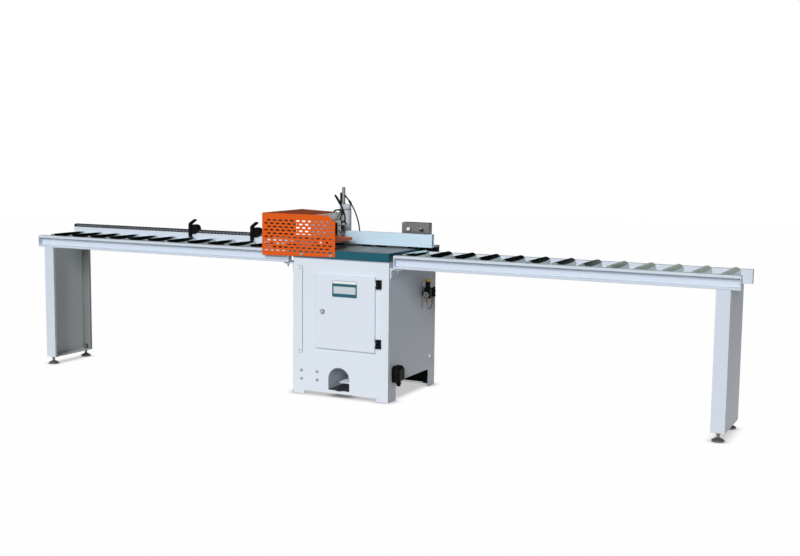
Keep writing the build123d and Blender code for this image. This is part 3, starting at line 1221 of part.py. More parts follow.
with BuildPart() as power_inlet:
    slab((RIGHT, RIGHT + INLET_DEPTH), INLET_Y, (INLET_BOTTOM, INLET_BOTTOM + INLET_HEIGHT))
    chamfer(power_inlet.faces().sort_by(Axis.X)[-1].edges(), INLET_CHAMFER)
    bar_z(RIGHT + INLET_DEPTH / 2, middle(INLET_Y), (INLET_BOTTOM - INLET_GLAND_DROP, INLET_BOTTOM), INLET_GLAND)
save_group("cabinet_fittings", [*fittings, power_inlet.part])

# Control box on its post, with a bezel round each button
POST_X = (CONTROL_X[0] + POST_INSET, CONTROL_X[0] + POST_INSET + POST_WIDTH)
POST_Y = about(middle(CONTROL_Y), POST_DEPTH)
BUTTON_Z = CONTROL_Z[1] - BUTTON_DROP
WALL_BACK = CONTROL_Y[0] + CONTROL_WALL
with BuildPart() as control_box:
    slab(CONTROL_X, CONTROL_Y, CONTROL_Z)
    fillet(control_box.edges().filter_by(Axis.Y), CONTROL_ROUND)
    slab(POST_X, POST_Y, (TABLE_TOP, CONTROL_Z[0]))
    slab((CONTROL_X[0] + CONTROL_WALL, CONTROL_X[1] - CONTROL_WALL), (WALL_BACK, CONTROL_Y[1] - CONTROL_WALL),
         (CONTROL_Z[0] + CONTROL_WALL, CONTROL_Z[1] - CONTROL_WALL), mode=Mode.SUBTRACT)
    slab((POST_X[0] + POST_WALL, POST_X[1] - POST_WALL), (POST_Y[0] + POST_WALL, POST_Y[1] - POST_WALL),
         (TABLE_TOP, CONTROL_Z[0] + CONTROL_WALL), mode=Mode.SUBTRACT)
    for place in BUTTON_PLACES:
        bar_y(CONTROL_X[0] + place, (CONTROL_Y[0] - BEZEL_STAND, CONTROL_Y[0]), BUTTON_Z, BEZEL_DIAMETER)
        bar_y(CONTROL_X[0] + place, (CONTROL_Y[0] - BEZEL_STAND, WALL_BACK), BUTTON_Z, BUTTON_DIAMETER + 2 * RUN,
              mode=Mode.SUBTRACT)
save(control_box.part, "control_box")

for place, name in zip(BUTTON_PLACES, ("start_button", "stop_button")):
    with BuildPart() as button:
        bar_y(CONTROL_X[0] + place, (CONTROL_Y[0] - BUTTON_STAND, WALL_BACK + BUTTON_COLLAR_THICK), BUTTON_Z,
              BUTTON_DIAMETER)
        chamfer(button.faces().sort_by(Axis.Y)[0].edges(), 1)
        bar_y(CONTROL_X[0] + place, (WALL_BACK + RUN, WALL_BACK + BUTTON_COLLAR_THICK), BUTTON_Z, BUTTON_COLLAR)
    save(button.part, name)

# Air service unit: wall plate, regulator with gauge and bowl, round lubricator with bowl, filler and elbow
COLLAR_BOTTOM = AIR_BODY_BOTTOM - COLLAR_HEIGHT
REGULATOR_BOWL_BOTTOM = COLLAR_BOTTOM - REGULATOR_BOWL_HEIGHT
LUBRICATOR_Z = (NIPPLE_Z - LUBRICATOR_BOTTOM, NIPPLE_Z + LUBRICATOR_TOP)
LUBRICATOR_BOWL_BOTTOM = LUBRICATOR_Z[0] - LUBRICATOR_BOWL_HEIGHT
ELBOW_Y = LUBRICATOR_Y + ELBOW_REACH
PLATE_TOP = AIR_BODY_TOP + AIR_PLATE_TOP
with BuildPart() as air_unit:
    slab(about(AIR_X, AIR_BODY), about(REGULATOR_Y, AIR_BODY), (AIR_BODY_BOTTOM, AIR_BODY_TOP))
    fillet(air_unit.edges().filter_by(Axis.Z), AIR_BODY_ROUND)
    slab((RIGHT, RIGHT + AIR_PLATE), about(REGULATOR_Y, AIR_PLATE_WIDTH), (PLATE_TOP - AIR_PLATE_HEIGHT, PLATE_TOP))
    slab((RIGHT, AIR_X), about(REGULATOR_Y, AIR_ARM), about(NIPPLE_Z, AIR_ARM))
    bar_z(AIR_X, REGULATOR_Y, (COLLAR_BOTTOM, AIR_BODY_BOTTOM), COLLAR_DIAMETER)
    bar_z(AIR_X, REGULATOR_Y, (REGULATOR_BOWL_BOTTOM, COLLAR_BOTTOM), REGULATOR_BOWL)
    bar_z(AIR_X, REGULATOR_Y, (REGULATOR_BOWL_BOTTOM - DRAIN_LENGTH, REGULATOR_BOWL_BOTTOM), DRAIN_DIAMETER)
    bar_y(AIR_X, (REGULATOR_Y - AIR_BODY / 2 - GAUGE_DEPTH, REGULATOR_Y), NIPPLE_Z, GAUGE_DIAMETER)
    bar_y(AIR_X, (REGULATOR_Y, LUBRICATOR_Y), NIPPLE_Z, NIPPLE_DIAMETER)
    bar_z(AIR_X, LUBRICATOR_Y, LUBRICATOR_Z, LUBRICATOR_BODY)
    bar_z(AIR_X, LUBRICATOR_Y, (LUBRICATOR_Z[1], LUBRICATOR_Z[1] + FILLER_HEIGHT), FILLER_DIAMETER)
    bar_z(AIR_X, LUBRICATOR_Y, (LUBRICATOR_BOWL_BOTTOM, LUBRICATOR_Z[0]), LUBRICATOR_BOWL)
    bar_y(AIR_X, (LUBRICATOR_Y, ELBOW_Y + ELBOW_DIAMETER / 2), NIPPLE_Z, ELBOW_DIAMETER)
    bar_z(AIR_X, ELBOW_Y, (NIPPLE_Z, NIPPLE_Z + ELBOW_RISE), ELBOW_DIAMETER)
    bar_z(AIR_X, REGULATOR_Y, (AIR_BODY_TOP - KNOB_STEM_DEPTH, AIR_BODY_TOP), KNOB_STEM + 2 * RUN, mode=Mode.SUBTRACT)
save(air_unit.part, "air_unit")

with BuildPart() as regulator_knob:
    bar_z(AIR_X, REGULATOR_Y, (AIR_BODY_TOP + RUN, AIR_BODY_TOP + KNOB_HEIGHT), KNOB_DIAMETER)
    bar_z(AIR_X, REGULATOR_Y, (AIR_BODY_TOP + KNOB_HEIGHT, AIR_BODY_TOP + KNOB_HEIGHT + KNOB_CAP_HEIGHT), KNOB_CAP)
    bar_z(AIR_X, REGULATOR_Y, (AIR_BODY_TOP - KNOB_STEM_DEPTH + PLAY, AIR_BODY_TOP + KNOB_HEIGHT), KNOB_STEM)
save(regulator_knob.part, "regulator_knob")

# Bolts: hex heads on washers, on the beam's flange, the hood and under the hangers; screws on the cover strip
BEAM_BOLT_X = about(FEED_X, BEAM_FLANGE - 2 * WASHER + 6)
BEAM_BOLT_Z = about(middle(BEAM_Z), BEAM_FLANGE_HEIGHT - 30)
bolt_places = [(x, FRONT, z) for x in BEAM_BOLT_X for z in BEAM_BOLT_Z]
bolt_places += [(x, TABLE_FRONT - HOOD_SHEET, CABINET_HEIGHT + WASHER) for x in (LEFT + HOOD_BOLT_SIDE, HOOD_X[1] - SLOT_EDGE)]
seat_bolts = [(frame_span(side)[0] + side * WASHER, y, RAIL_BOTTOM - HANGER_SEAT)
              for side in (-1, 1) for y in (HANGER_Y[0] + WASHER / 2, HANGER_Y[1] - WASHER / 2)]
bolts = []
for x, y, z in bolt_places:
    with BuildPart() as bolt:
        bar_y(x, (y - WASHER_THICK, y), z, WASHER)
        with BuildSketch(front_plane(y - WASHER_THICK)):
            with Locations((x, z)):
                RegularPolygon(BOLT_HEAD / 2, 6, major_radius=False)
        extrude(amount=BOLT_HEAD_HEIGHT)
    bolts.append(bolt.part)
for x, y, z in seat_bolts:
    with BuildPart() as seat_bolt:
        bar_z(x, y, (z - WASHER_THICK, z), WASHER)
        with BuildSketch(Plane.XY.offset(z - WASHER_THICK)):
            with Locations((x, y)):
                RegularPolygon(BOLT_HEAD / 2, 6, major_radius=False)
        extrude(amount=-BOLT_HEAD_HEIGHT)
        bar_z(x, y, (z - WASHER_THICK - BOLT_HEAD_HEIGHT - BOLT_STUD_LENGTH, z - WASHER_THICK), BOLT_STUD)
    bolts.append(seat_bolt.part)
for z in (STRIP_BOTTOM + STRIP_SCREW_INSET, STRIP_TOP - STRIP_SCREW_INSET):
    with BuildPart() as screw:
        bar_y(BLADE_X, (FRONT - STRIP_THICK - SCREW_HEAD_HEIGHT, FRONT - STRIP_THICK), z, SCREW_HEAD)
    bolts.append(screw.part)
save_group("fasteners", bolts)
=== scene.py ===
"""Finishes, fittings and studio stage for a cut-off saw with two roller tables.

Lengths in the code are millimetres in the saw's own frame; meshes are written in metres.
"""

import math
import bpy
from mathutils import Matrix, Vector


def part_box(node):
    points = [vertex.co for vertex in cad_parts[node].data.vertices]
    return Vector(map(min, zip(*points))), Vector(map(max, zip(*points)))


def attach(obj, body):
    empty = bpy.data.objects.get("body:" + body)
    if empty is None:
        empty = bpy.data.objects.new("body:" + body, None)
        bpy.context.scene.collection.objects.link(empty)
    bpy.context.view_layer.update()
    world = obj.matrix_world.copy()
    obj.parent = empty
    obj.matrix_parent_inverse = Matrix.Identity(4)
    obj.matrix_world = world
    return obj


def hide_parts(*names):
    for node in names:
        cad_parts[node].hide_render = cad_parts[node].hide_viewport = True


bl_info = {
    "name": "Cut-off saw dressing",
    "version": (1, 0, 0),
    "blender": (4, 5, 0),
    "location": "View3D > Sidebar > Saw",
    "description": "Adds finishes, fittings and a studio stage to a cut-off saw",
    "category": "Object",
}

import bmesh
import bpy
import numpy as np
from bpy.props import FloatProperty, FloatVectorProperty, IntProperty, PointerProperty
from mathutils import Matrix, Vector

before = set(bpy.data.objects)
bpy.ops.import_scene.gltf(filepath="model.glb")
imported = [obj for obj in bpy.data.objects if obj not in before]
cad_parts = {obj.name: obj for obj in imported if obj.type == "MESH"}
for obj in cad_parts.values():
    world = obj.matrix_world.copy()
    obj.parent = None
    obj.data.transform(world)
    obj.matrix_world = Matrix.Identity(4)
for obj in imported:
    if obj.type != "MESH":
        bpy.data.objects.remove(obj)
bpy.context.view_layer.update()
MM = 0.001
TABLE_TOP = 828
CABINET_SIDE = 305


# Sizes and colours


def colour_value(name, description, default):
    """A colour the user can change."""
    return FloatVectorProperty(name=name, description=description, subtype="COLOR", size=3, min=0, max=1,
                               default=default)


def size_value(name, description, default):
    """A length the user can change, in metres."""
    return FloatProperty(name=name, description=description, unit="LENGTH", subtype="DISTANCE", default=default)


def angle_value(name, description, degrees):
    """An angle the user can change."""
    return FloatProperty(name=name, description=description, subtype="ANGLE", default=math.radians(degrees))


def number_value(name, description, default):
    """A plain number the user can change."""
    return FloatProperty(name=name, description=description, default=default)


def count_value(name, description, default, least):
    """A whole number the user can change."""
    return IntProperty(name=name, description=description, default=default, min=least)


class SawColours(bpy.types.PropertyGroup):
    """Base colours of the finishes."""

    white_paint: colour_value("White paint", "Cabinet, door, column", (0.74, 0.80, 0.88))
    frame_paint: colour_value("Frame paint", "Roller frames, legs, stop fence", (0.64, 0.71, 0.80))
    orange_paint: colour_value("Orange paint", "Blade hood", (0.74, 0.108, 0.008))
    teal_paint: colour_value("Teal paint", "Edge of the table, field of the door plate", (0.005, 0.095, 0.140))
    table_iron: colour_value("Table iron", "Top of the table", (0.190, 0.208, 0.215))
    aluminium: colour_value("Aluminium", "Main fence", (0.62, 0.81, 0.95))
    black_plastic: colour_value("Black plastic", "Stops, hinges, levers", (0.003, 0.0032, 0.0036))
    black_rubber: colour_value("Black rubber", "Hose and belts", (0.006, 0.0063, 0.007))
    steel: colour_value("Steel", "Blade, arbor, presser's rod", (0.46, 0.49, 0.48))
    roller_zinc: colour_value("Roller zinc", "Rollers", (0.33, 0.39, 0.375))
    zinc: colour_value("Zinc plate", "Bolts, bezels, feed rod", (0.34, 0.35, 0.36))
    # Painted reflection: the stainless is darkened to stand for the dark surroundings the control box mirrors.
    stainless: colour_value("Stainless", "Control box, gauge rim", (0.20, 0.195, 0.187))
    cast_iron: colour_value("Cast iron", "Swing arm, motor pulley", (0.13, 0.15, 0.17))
    brass: colour_value("Brass", "Collar of the air unit", (0.24, 0.175, 0.10))
    yellow: colour_value("Yellow", "Cap of the regulator", (0.50, 0.36, 0.02))
    ivory: colour_value("Ivory", "Start button", (0.80, 0.82, 0.80))


class SawSizes(bpy.types.PropertyGroup):
    """Sizes of the added pieces."""

    hose_diameter: size_value("Hose", "Outside diameter of the air hose", 0.008)
    hose_length: size_value("Hose length", "Length of the air hose from fitting to socket", 0.268)
    plate_thickness: size_value("Plate", "Thickness of the plate on the door", 0.0012)
    tape_thickness: size_value("Tape", "Thickness of the scale tape", 0.0004)
    tick_pitch: size_value("Tick pitch", "Distance between the scale's ticks", 0.005)
    mark_pitch: size_value("Mark pitch", "Distance between the scale's blocks", 0.025)
    fin_depth: size_value("Fin depth", "Depth of the motor's cooling fins", 0.009)
    fin_count: count_value("Fins", "Number of the motor's cooling fins", 32, 8)
    knob_ribs: count_value("Knob ribs", "Grip ribs round the regulator's knob", 24, 6)
    round_steps: count_value("Round steps", "Points round the clamp's column and rod", 48, 12)


class SawStage(bpy.types.PropertyGroup):
    """Camera and light."""

    lens: number_value("Lens", "Focal length of the camera in millimetres", 53.6175)
    place: FloatVectorProperty(name="Camera", description="Place of the camera", subtype="TRANSLATION", size=3,
                               unit="LENGTH", default=(3.1625, -6.0643, 1.4380))
    yaw: angle_value("Yaw", "Turn of the camera to the left of straight ahead", 25.858)
    pitch: angle_value("Pitch", "Downward tilt of the camera", 6.586)
    roll: angle_value("Roll", "Roll of the camera", 0.642)
    key: number_value("Key", "Strength of the soft front light", 2.68)
    key_azimuth: angle_value("Key azimuth", "Key light's turn to the right of the front", 8)
    key_height: angle_value("Key height", "Height of both lights above the horizon", 25)
    key_softness: angle_value("Key softness", "Width of both lights as seen from the saw", 30)
    back_light: number_value("Back light", "Strength of the light from behind, on the left", 1.1)
    back_azimuth: angle_value("Back azimuth", "Back light's turn to the right of the front", 200)
    fill: number_value("Fill", "Strength of the light from all round", 0.10)
    zenith: number_value("Zenith", "Brightness straight overhead, as a share of the horizon's", 0.25)
    floor: colour_value("Floor", "Colour of the floor", (0.42, 0.42, 0.43))


# Point grids. Each function returns an array (rings, points in a ring, 3) in millimetres whose rings close on
# themselves; a ring that shrinks to a point closes an end.

AXES = {
    "x": ((0, 1, 0), (0, 0, 1), (1, 0, 0)),
    "y": ((1, 0, 0), (0, 0, 1), (0, 1, 0)),
    "z": ((1, 0, 0), (0, 1, 0), (0, 0, 1)),
}


def directions(axis):
    """Two cross directions and the long direction of an axis given by letter or as a vector."""
    if isinstance(axis, str):
        return np.array(AXES[axis], float)
    along = np.array(axis, float) / np.linalg.norm(axis)
    side = np.cross(along, (0, 1, 0))
    side /= np.linalg.norm(side)
    return np.stack([side, np.cross(along, side), along])


def place(rings, depth, origin, axis):
    """Point = origin + a * first cross direction + b * second cross direction + depth * long direction."""
    across, up, along = directions(axis)
    flat = rings[..., :1] * across + rings[..., 1:2] * up
    return np.array(origin, float) + flat + np.asarray(depth, float)[:, None, None] * along


def on_circle(turn):
    """Points (cos t, sin t) at some turns t."""
    return np.stack([np.cos(turn), np.sin(turn)], -1)


def unit_circle(count):
    """Points at equal turns round the circle."""
    return on_circle(np.linspace(0, 2 * np.pi, count, endpoint=False))


def rounded_outline(width, height, radius, count=6):
    """Rectangle with round corners: each corner's centre plus radius * (cos t, sin t) over its quarter turn."""
    corner = np.array([[1, 1], [-1, 1], [-1, -1], [1, -1]]) * (width / 2 - radius, height / 2 - radius)
    turn = np.linspace(0, np.pi / 2, count)[None] + np.arange(4)[:, None] * np.pi / 2
    return (corner[:, None] + radius * on_circle(turn)).reshape(-1, 2)


def hexagon_outline(across):
    """Hexagon of a width across flats: corners at equal turns, at half that width over cos(pi / 6)."""
    return across / 2 / math.cos(math.pi / 6) * unit_circle(6)


def prism(outline, span, origin, axis, bevel=0.0):
    """Bar of an outline between two depths: rings of the outline, drawn in by the bevel at both ends, and a
    pole at the middle of each end face."""
    drawn_in = outline * (1 - bevel / np.abs(outline).max(0))
    rings = np.stack([outline * 0, drawn_in, outline, outline, drawn_in, outline * 0])
    depth = [span[0], span[0], span[0] + bevel, span[1] - bevel, span[1], span[1]]
    return place(rings, depth, origin, axis)


def block(x, y, z, radius, bevel):
    """Upright box between two x, y and z values with round corners and bevelled ends."""
    outline = rounded_outline(x[1] - x[0], y[1] - y[0], radius)
    return prism(outline, z, ((x[0] + x[1]) / 2, (y[0] + y[1]) / 2, 0), "z", bevel)


def turned(profile, origin, axis, count=48):
    """Surface of revolution: each (depth, radius) pair of the profile swept through a full turn."""
    profile = np.array(profile, float)
    return place(profile[:, 1, None, None] * unit_circle(count), profile[:, 0], origin, axis)


def capped(profile, origin, axis, count):
    """Surface of revolution with flat ends: the profile with a pole at its first and at its last depth."""
    return turned([(profile[0][0], 0), *profile, (profile[-1][0], 0)], origin, axis, count)


def ribbed(profile, ribs, origin, axis):
    """Surface of revolution with ribs, eight points to each: radius - groove depth * wave at each turn t, where
    the wave is 0.5 + 1.2 * cos(ribs * t) cut to 0 and 1. The profile holds (depth, radius, groove depth)."""
    profile = np.array(profile, float)
    turn = np.linspace(0, 2 * np.pi, 8 * ribs, endpoint=False)
    wave = np.clip(0.5 + 1.2 * np.cos(ribs * turn), 0, 1)
    radius = profile[:, 1, None] - profile[:, 2, None] * wave[None]
    return place(radius[..., None] * on_circle(turn), profile[:, 0], origin, axis)


def smooth_path(points, rounds=4):
    """Corner cutting: each round replaces every inner corner by points at a quarter and three quarters of its
    runs, which tends to a quadratic curve."""
    path = np.array(points, float)
    for _ in range(rounds):
        before, after = path[:-1], path[1:]
        cut = np.stack([0.75 * before + 0.25 * after, 0.25 * before + 0.75 * after], 1).reshape(-1, 3)
        path = np.concatenate([path[:1], cut[1:-1], path[-1:]])
    return path


def tube(path, radius, across, count=20):
    """Circle carried along a path: path + radius * (n * cos t + s * sin t), where s is the given direction made
    square to the path's tangent and n is square to both, and a pole at each end."""
    tangent = np.gradient(path, axis=0)
    tangent /= np.linalg.norm(tangent, axis=1, keepdims=True)
    across = np.array(across, float)
    side = across - (tangent @ across)[:, None] * tangent
    side /= np.linalg.norm(side, axis=1, keepdims=True)
    normal = np.cross(side, tangent)
    unit = unit_circle(count)
    offset = unit[None, :, :1] * normal[:, None] + unit[None, :, 1:] * side[:, None]
    rings = path[:, None] + np.broadcast_to(radius, len(path))[:, None, None] * offset
    ends = np.repeat(path[[0, -1], None], count, axis=1)
    return np.concatenate([ends[:1], rings, ends[1:]])


def quads(rings, count, start):
    """Corner numbers of the four-sided faces between neighbouring rings."""
    ring, column = np.meshgrid(np.arange(rings - 1), np.arange(count), indexing="ij")
    after = (column + 1) % count
    low, high = start + ring * count, start + (ring + 1) * count
    return np.stack([low + column, low + after, high + after, high + column], -1).reshape(-1, 4)


def add_object(name, data):
    """Object of some data, linked to the scene."""
    made = bpy.data.objects.new(name, data)
    bpy.context.scene.collection.objects.link(made)
    return made


def add_piece(name, grids, look, body="base", replaced=()):
    """One mesh object from several point grids, its doubled points merged and its faces turned outwards; the
    look is a material or the name of a plain finish."""
    starts = np.cumsum([0] + [grid.shape[0] * grid.shape[1] for grid in grids])
    points = np.concatenate([grid.reshape(-1, 3) for grid in grids]) * MM
    faces = np.concatenate([quads(*grid.shape[:2], start) for grid, start in zip(grids, starts)])
    mesh = bpy.data.meshes.new(name)
    mesh.from_pydata(points.tolist(), [], faces.tolist())
    work = bmesh.new()
    work.from_mesh(mesh)
    bmesh.ops.remove_doubles(work, verts=work.verts, dist=1e-6)
    bmesh.ops.recalc_face_normals(work, faces=work.faces)
    work.to_mesh(mesh)
    work.free()
    mesh.shade_smooth()
    mesh.set_sharp_from_angle(angle=math.radians(38))
    mesh.materials.append(plain(look) if isinstance(look, str) else look)
    piece = add_object(name, mesh)
    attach(piece, body)
    if replaced:
        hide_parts(*replaced)
    return piece


# Shader nodes


def set_inputs(tree, node, inputs):
    """Sets a node's inputs by socket; each is a value or an output to link."""
    for key, value in dict(inputs).items():
        if isinstance(value, bpy.types.NodeSocket):
            tree.links.new(value, node.inputs[key])
        else:
            node.inputs[key].default_value = value


def add_node(tree, kind, inputs=(), **settings):
    """Adds a shader node with its settings and inputs."""
    made = tree.nodes.new("ShaderNode" + kind)
    for key, value in settings.items():
        setattr(made, key, value)
    set_inputs(tree, made, inputs)
    return made


def math_node(tree, operation, first, second=0.0):
    """Result of one math operation."""
    return add_node(tree, "Math", {0: first, 1: second}, operation=operation).outputs[0]


def split(tree, vector):
    """The three coordinates of a vector."""
    return add_node(tree, "SeparateXYZ", {0: vector}).outputs


def ramp(tree, value, start, end, low=0.0, high=1.0, **settings):
    """Value that goes from low to high while another goes from start to end."""
    limits = {"Value": value, "From Min": start, "From Max": end, "To Min": low, "To Max": high}
    return add_node(tree, "MapRange", limits, **settings).outputs[0]


def fill_grain(tree, given, result):
    """Mottled colour, uneven gloss and a fine height from two noises of one vector."""
    fine, broad = (
        add_node(tree, "TexNoise", {"Vector": given["Vector"], "Scale": scale, "Detail": detail}).outputs["Fac"]
        for scale, detail in ((1.0, 5.0), (0.13, 3.0)))
    swing = math_node(tree, "SUBTRACT", math_node(tree, "ADD", fine, broad), 1.0)
    shade = math_node(tree, "ADD", math_node(tree, "MULTIPLY", swing, given["Mottle"]), 1.0)
    tinted = add_node(tree, "VectorMath", {0: given["Colour"], "Scale": shade}, operation="SCALE")
    gloss = math_node(tree, "ADD", math_node(tree, "MULTIPLY", swing, given["Spread"]), given["Roughness"])
    set_inputs(tree, result, {"Colour": tinted.outputs["Vector"], "Roughness": gloss, "Height": fine})


def fill_box(tree, given, result):
    """Mask that is 1 where a point lies between two corners."""
    point, low, high = (split(tree, given[key]) for key in ("Vector", "Low", "High"))
    mask = 1.0
    for axis in range(3):
        above = math_node(tree, "GREATER_THAN", point[axis], low[axis])
        below = math_node(tree, "LESS_THAN", point[axis], high[axis])
        mask = math_node(tree, "MULTIPLY", mask, math_node(tree, "MULTIPLY", above, below))
    set_inputs(tree, result, {"Mask": mask})


def fill_ticks(tree, given, result):
    """Mask of stripes: 1 over the first part of every pitch of a coordinate."""
    part = math_node(tree, "FRACT", math_node(tree, "DIVIDE", given["Coordinate"], given["Pitch"]))
    set_inputs(tree, result, {"Mask": math_node(tree, "LESS_THAN", part, given["Share"])})


FLOAT, VECTOR, COLOUR = "NodeSocketFloat", "NodeSocketVector", "NodeSocketColor"

# Shared node groups: what fills them, inputs, outputs
NODE_GROUPS = {
    "saw surface grain": (
        fill_grain,
        {"Vector": VECTOR, "Colour": COLOUR, "Mottle": FLOAT, "Roughness": FLOAT, "Spread": FLOAT},
        {"Colour": COLOUR, "Roughness": FLOAT, "Height": FLOAT},
    ),
    "saw box mask": (fill_box, {"Vector": VECTOR, "Low": VECTOR, "High": VECTOR}, {"Mask": FLOAT}),
    "saw ticks": (fill_ticks, {"Coordinate": FLOAT, "Pitch": FLOAT, "Share": FLOAT}, {"Mask": FLOAT}),
}


def use_group(tree, name, inputs):
    """Outputs of a shared node group placed in a material; the group is made when it is first asked for."""
    group = bpy.data.node_groups.get(name)
    if group is None:
        fill, takes, gives = NODE_GROUPS[name]
        group = bpy.data.node_groups.new(name, "ShaderNodeTree")
        for side, sockets in (("INPUT", takes), ("OUTPUT", gives)):
            for label, kind in sockets.items():
                group.interface.new_socket(label, in_out=side, socket_type=kind)
        fill(group, group.nodes.new("NodeGroupInput").outputs, group.nodes.new("NodeGroupOutput"))
    return add_node(tree, "Group", inputs, node_tree=group).outputs


def rgba(colour):
    """Colour with full opacity; an output stays as it is."""
    return colour if isinstance(colour, bpy.types.NodeSocket) else (*colour, 1.0)


def new_material(name):
    """New material with its node tree and its shader."""
    material = bpy.data.materials.new(name)
    material.use_nodes = True
    return material, material.node_tree, material.node_tree.nodes["Principled BSDF"]


FAR = 9e3
EVERYWHERE = (-FAR, FAR)
BRUSHED_X = (0.02, 1, 1)


class Finish:
    """A material under construction: object coordinates, layers of colour, then grain and shader."""

    def __init__(self, name):
        self.material, self.tree, self.shader = new_material(name)
        self.colours = bpy.context.scene.saw_colours
        self.point = add_node(self.tree, "TexCoord").outputs["Object"]

    def box(self, x=EVERYWHERE, y=EVERYWHERE, z=EVERYWHERE, point=None):
        """Mask of a box given by its limits in millimetres."""
        low, high = (Vector(corner) * MM for corner in zip(x, y, z))
        corners = {"Vector": point or self.point, "Low": low, "High": high}
        return use_group(self.tree, "saw box mask", corners)[0]

    def centred(self, centre):
        """The point as seen from a centre given in millimetres."""
        shift = {"Vector": self.point, "Location": -Vector(centre) * MM}
        return add_node(self.tree, "Mapping", shift).outputs[0]

    def from_axis(self, point):
        """Distance of a point from the Y axis."""
        flat = add_node(self.tree, "VectorMath", {0: point, 1: (1, 0, 1)}, operation="MULTIPLY").outputs[0]
        return add_node(self.tree, "VectorMath", {0: flat}, operation="LENGTH").outputs["Value"]

    def along(self, axis):
        """One of the point's coordinates, in metres."""
        return split(self.tree, self.point)[axis]

    def ticks(self, coordinate, pitch, share):
        """Mask of stripes along a coordinate."""
        return use_group(self.tree, "saw ticks", {"Coordinate": coordinate, "Pitch": pitch, "Share": share})[0]

    def both(self, first, second):
        """Mask where two masks meet."""
        return math_node(self.tree, "MULTIPLY", first, second)

    def either(self, first, second):
        """Mask that joins two masks."""
        return math_node(self.tree, "MAXIMUM", first, second)

    def layer(self, below, above, mask):
        """Second colour over the first where the mask is 1."""
        values = {0: mask, 6: rgba(below), 7: rgba(above)}
        return add_node(self.tree, "Mix", values, data_type="RGBA").outputs[2]

    def done(self, colour, grain, mottle, roughness, spread, bump, metallic=0.0, stretch=(1, 1, 1), **sockets):
        """Lays grain over the colour and joins it to the shader."""
        mapped = add_node(self.tree, "Mapping", {"Vector": self.point, "Scale": Vector(stretch) * grain})
        values = {"Vector": mapped.outputs[0], "Colour": rgba(colour), "Mottle": mottle, "Roughness": roughness,
                  "Spread": spread}
        grained = use_group(self.tree, "saw surface grain", values)
        height = {"Height": grained["Height"], "Strength": bump, "Distance": 0.0004}
        relief = add_node(self.tree, "Bump", height)
        values = {"Base Color": grained["Colour"], "Roughness": grained["Roughness"], "Metallic": metallic,
                  "Normal": relief.outputs["Normal"]}
        set_inputs(self.tree, self.shader, values)
        set_inputs(self.tree, self.shader, {key.replace("_", " "): value for key, value in sockets.items()})
        return self.material


ROLLERS = [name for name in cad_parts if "_roller_" in name]

# Plain finishes by material name: a fixed colour or one of the panel's, the columns' values, other settings and
# the saw's own nodes that wear the finish
COLUMNS = ("grain", "mottle", "roughness", "spread", "bump", "metallic")
PLAIN_FINISHES = {
    "white paint": ("white_paint", (500, 0.035, 0.42, 0.10, 0.10, 0.0), {}, ["door"]),
    "bare plate": ((0.86, 0.89, 0.90), (700, 0.08, 0.36, 0.12, 0.03, 0.75), {"stretch": BRUSHED_X},
                   ["hood_side_plate"]),
    "rod steel": ((0.24, 0.245, 0.245), (500, 0.08, 0.38, 0.1, 0.02, 0.85), {"stretch": (1, 1, 0.03)}, []),
    "clamp grey": ((0.33, 0.345, 0.35), (420, 0.14, 0.45, 0.15, 0.10, 0.4), {}, []),
    "black plastic": ("black_plastic", (900, 0.3, 0.46, 0.18, 0.12, 0.0), {"Specular_IOR_Level": 0.07},
                      ["fence_mounts", "stop_block_1", "stop_block_2", "stop_finger_1", "stop_finger_2"]),
    "black rubber": ("black_rubber", (700, 0.3, 0.55, 0.15, 0.12, 0.0), {"Specular_IOR_Level": 0.12},
                     ["drive_belts"]),
    "roller steel": ("roller_zinc", (1400, 0.14, 0.11, 0.08, 0.03, 1.0), {"stretch": (0.06, 1, 0.06)},
                     ROLLERS),
    "blade steel": ("steel", (600, 0.12, 0.28, 0.16, 0.05, 1.0), {}, ["blade", "arbor_shaft"]),
    # Painted shade: near black, worn by the back skirt in place of the cabinet's shaded inside.
    "painted shade black": ((0.012, 0.012, 0.013), (400, 0.2, 0.7, 0.1, 0.08, 0.0), {"Specular_IOR_Level": 0.1}, []),
    "blackened steel": ((0.150, 0.160, 0.156), (350, 0.25, 0.42, 0.2, 0.08, 0.5), {}, ["levelling_feet"]),
    "zinc plated steel": ("zinc", (350, 0.22, 0.36, 0.22, 0.06, 1.0), {}, ["fasteners", "feed_rod"]),
    "brushed stainless": ("stainless", (1300, 0.16, 0.34, 0.18, 0.05, 0.85), {"stretch": BRUSHED_X},
                          ["control_box"]),
    "cast iron paint": ("cast_iron", (260, 0.22, 0.55, 0.2, 0.35, 0.0), {}, ["swing_arm", "motor_pulley"]),
    "brass": ("brass", (600, 0.14, 0.28, 0.14, 0.04, 1.0), {}, []),
    "yellow plastic": ("yellow", (700, 0.08, 0.38, 0.1, 0.06, 0.0), {}, []),
    "ivory plastic": ("ivory", (700, 0.05, 0.35, 0.1, 0.05, 0.0), {}, ["start_button"]),
    "motor aluminium": ((0.36, 0.39, 0.41), (420, 0.2, 0.5, 0.2, 0.2, 0.6), {}, ["feed_cylinder"]),
    "pedal plate": ((0.68, 0.72, 0.75), (500, 0.12, 0.42, 0.2, 0.08, 0.2), {}, ["pedal"]),
    "clear bowl": ((0.36, 0.34, 0.35), (300, 0.05, 0.2, 0.04, 0.0, 0.0),
                   {"Transmission_Weight": 0.55, "IOR": 1.45}, []),
}


def plain(name):
    """A plain finish, made once."""
    if name in bpy.data.materials:
        return bpy.data.materials[name]
    colour, values, others, _ = PLAIN_FINISHES[name]
    if isinstance(colour, str):
        colour = getattr(bpy.context.scene.saw_colours, colour)
    return Finish(name).done(colour, **dict(zip(COLUMNS, values)), **others)


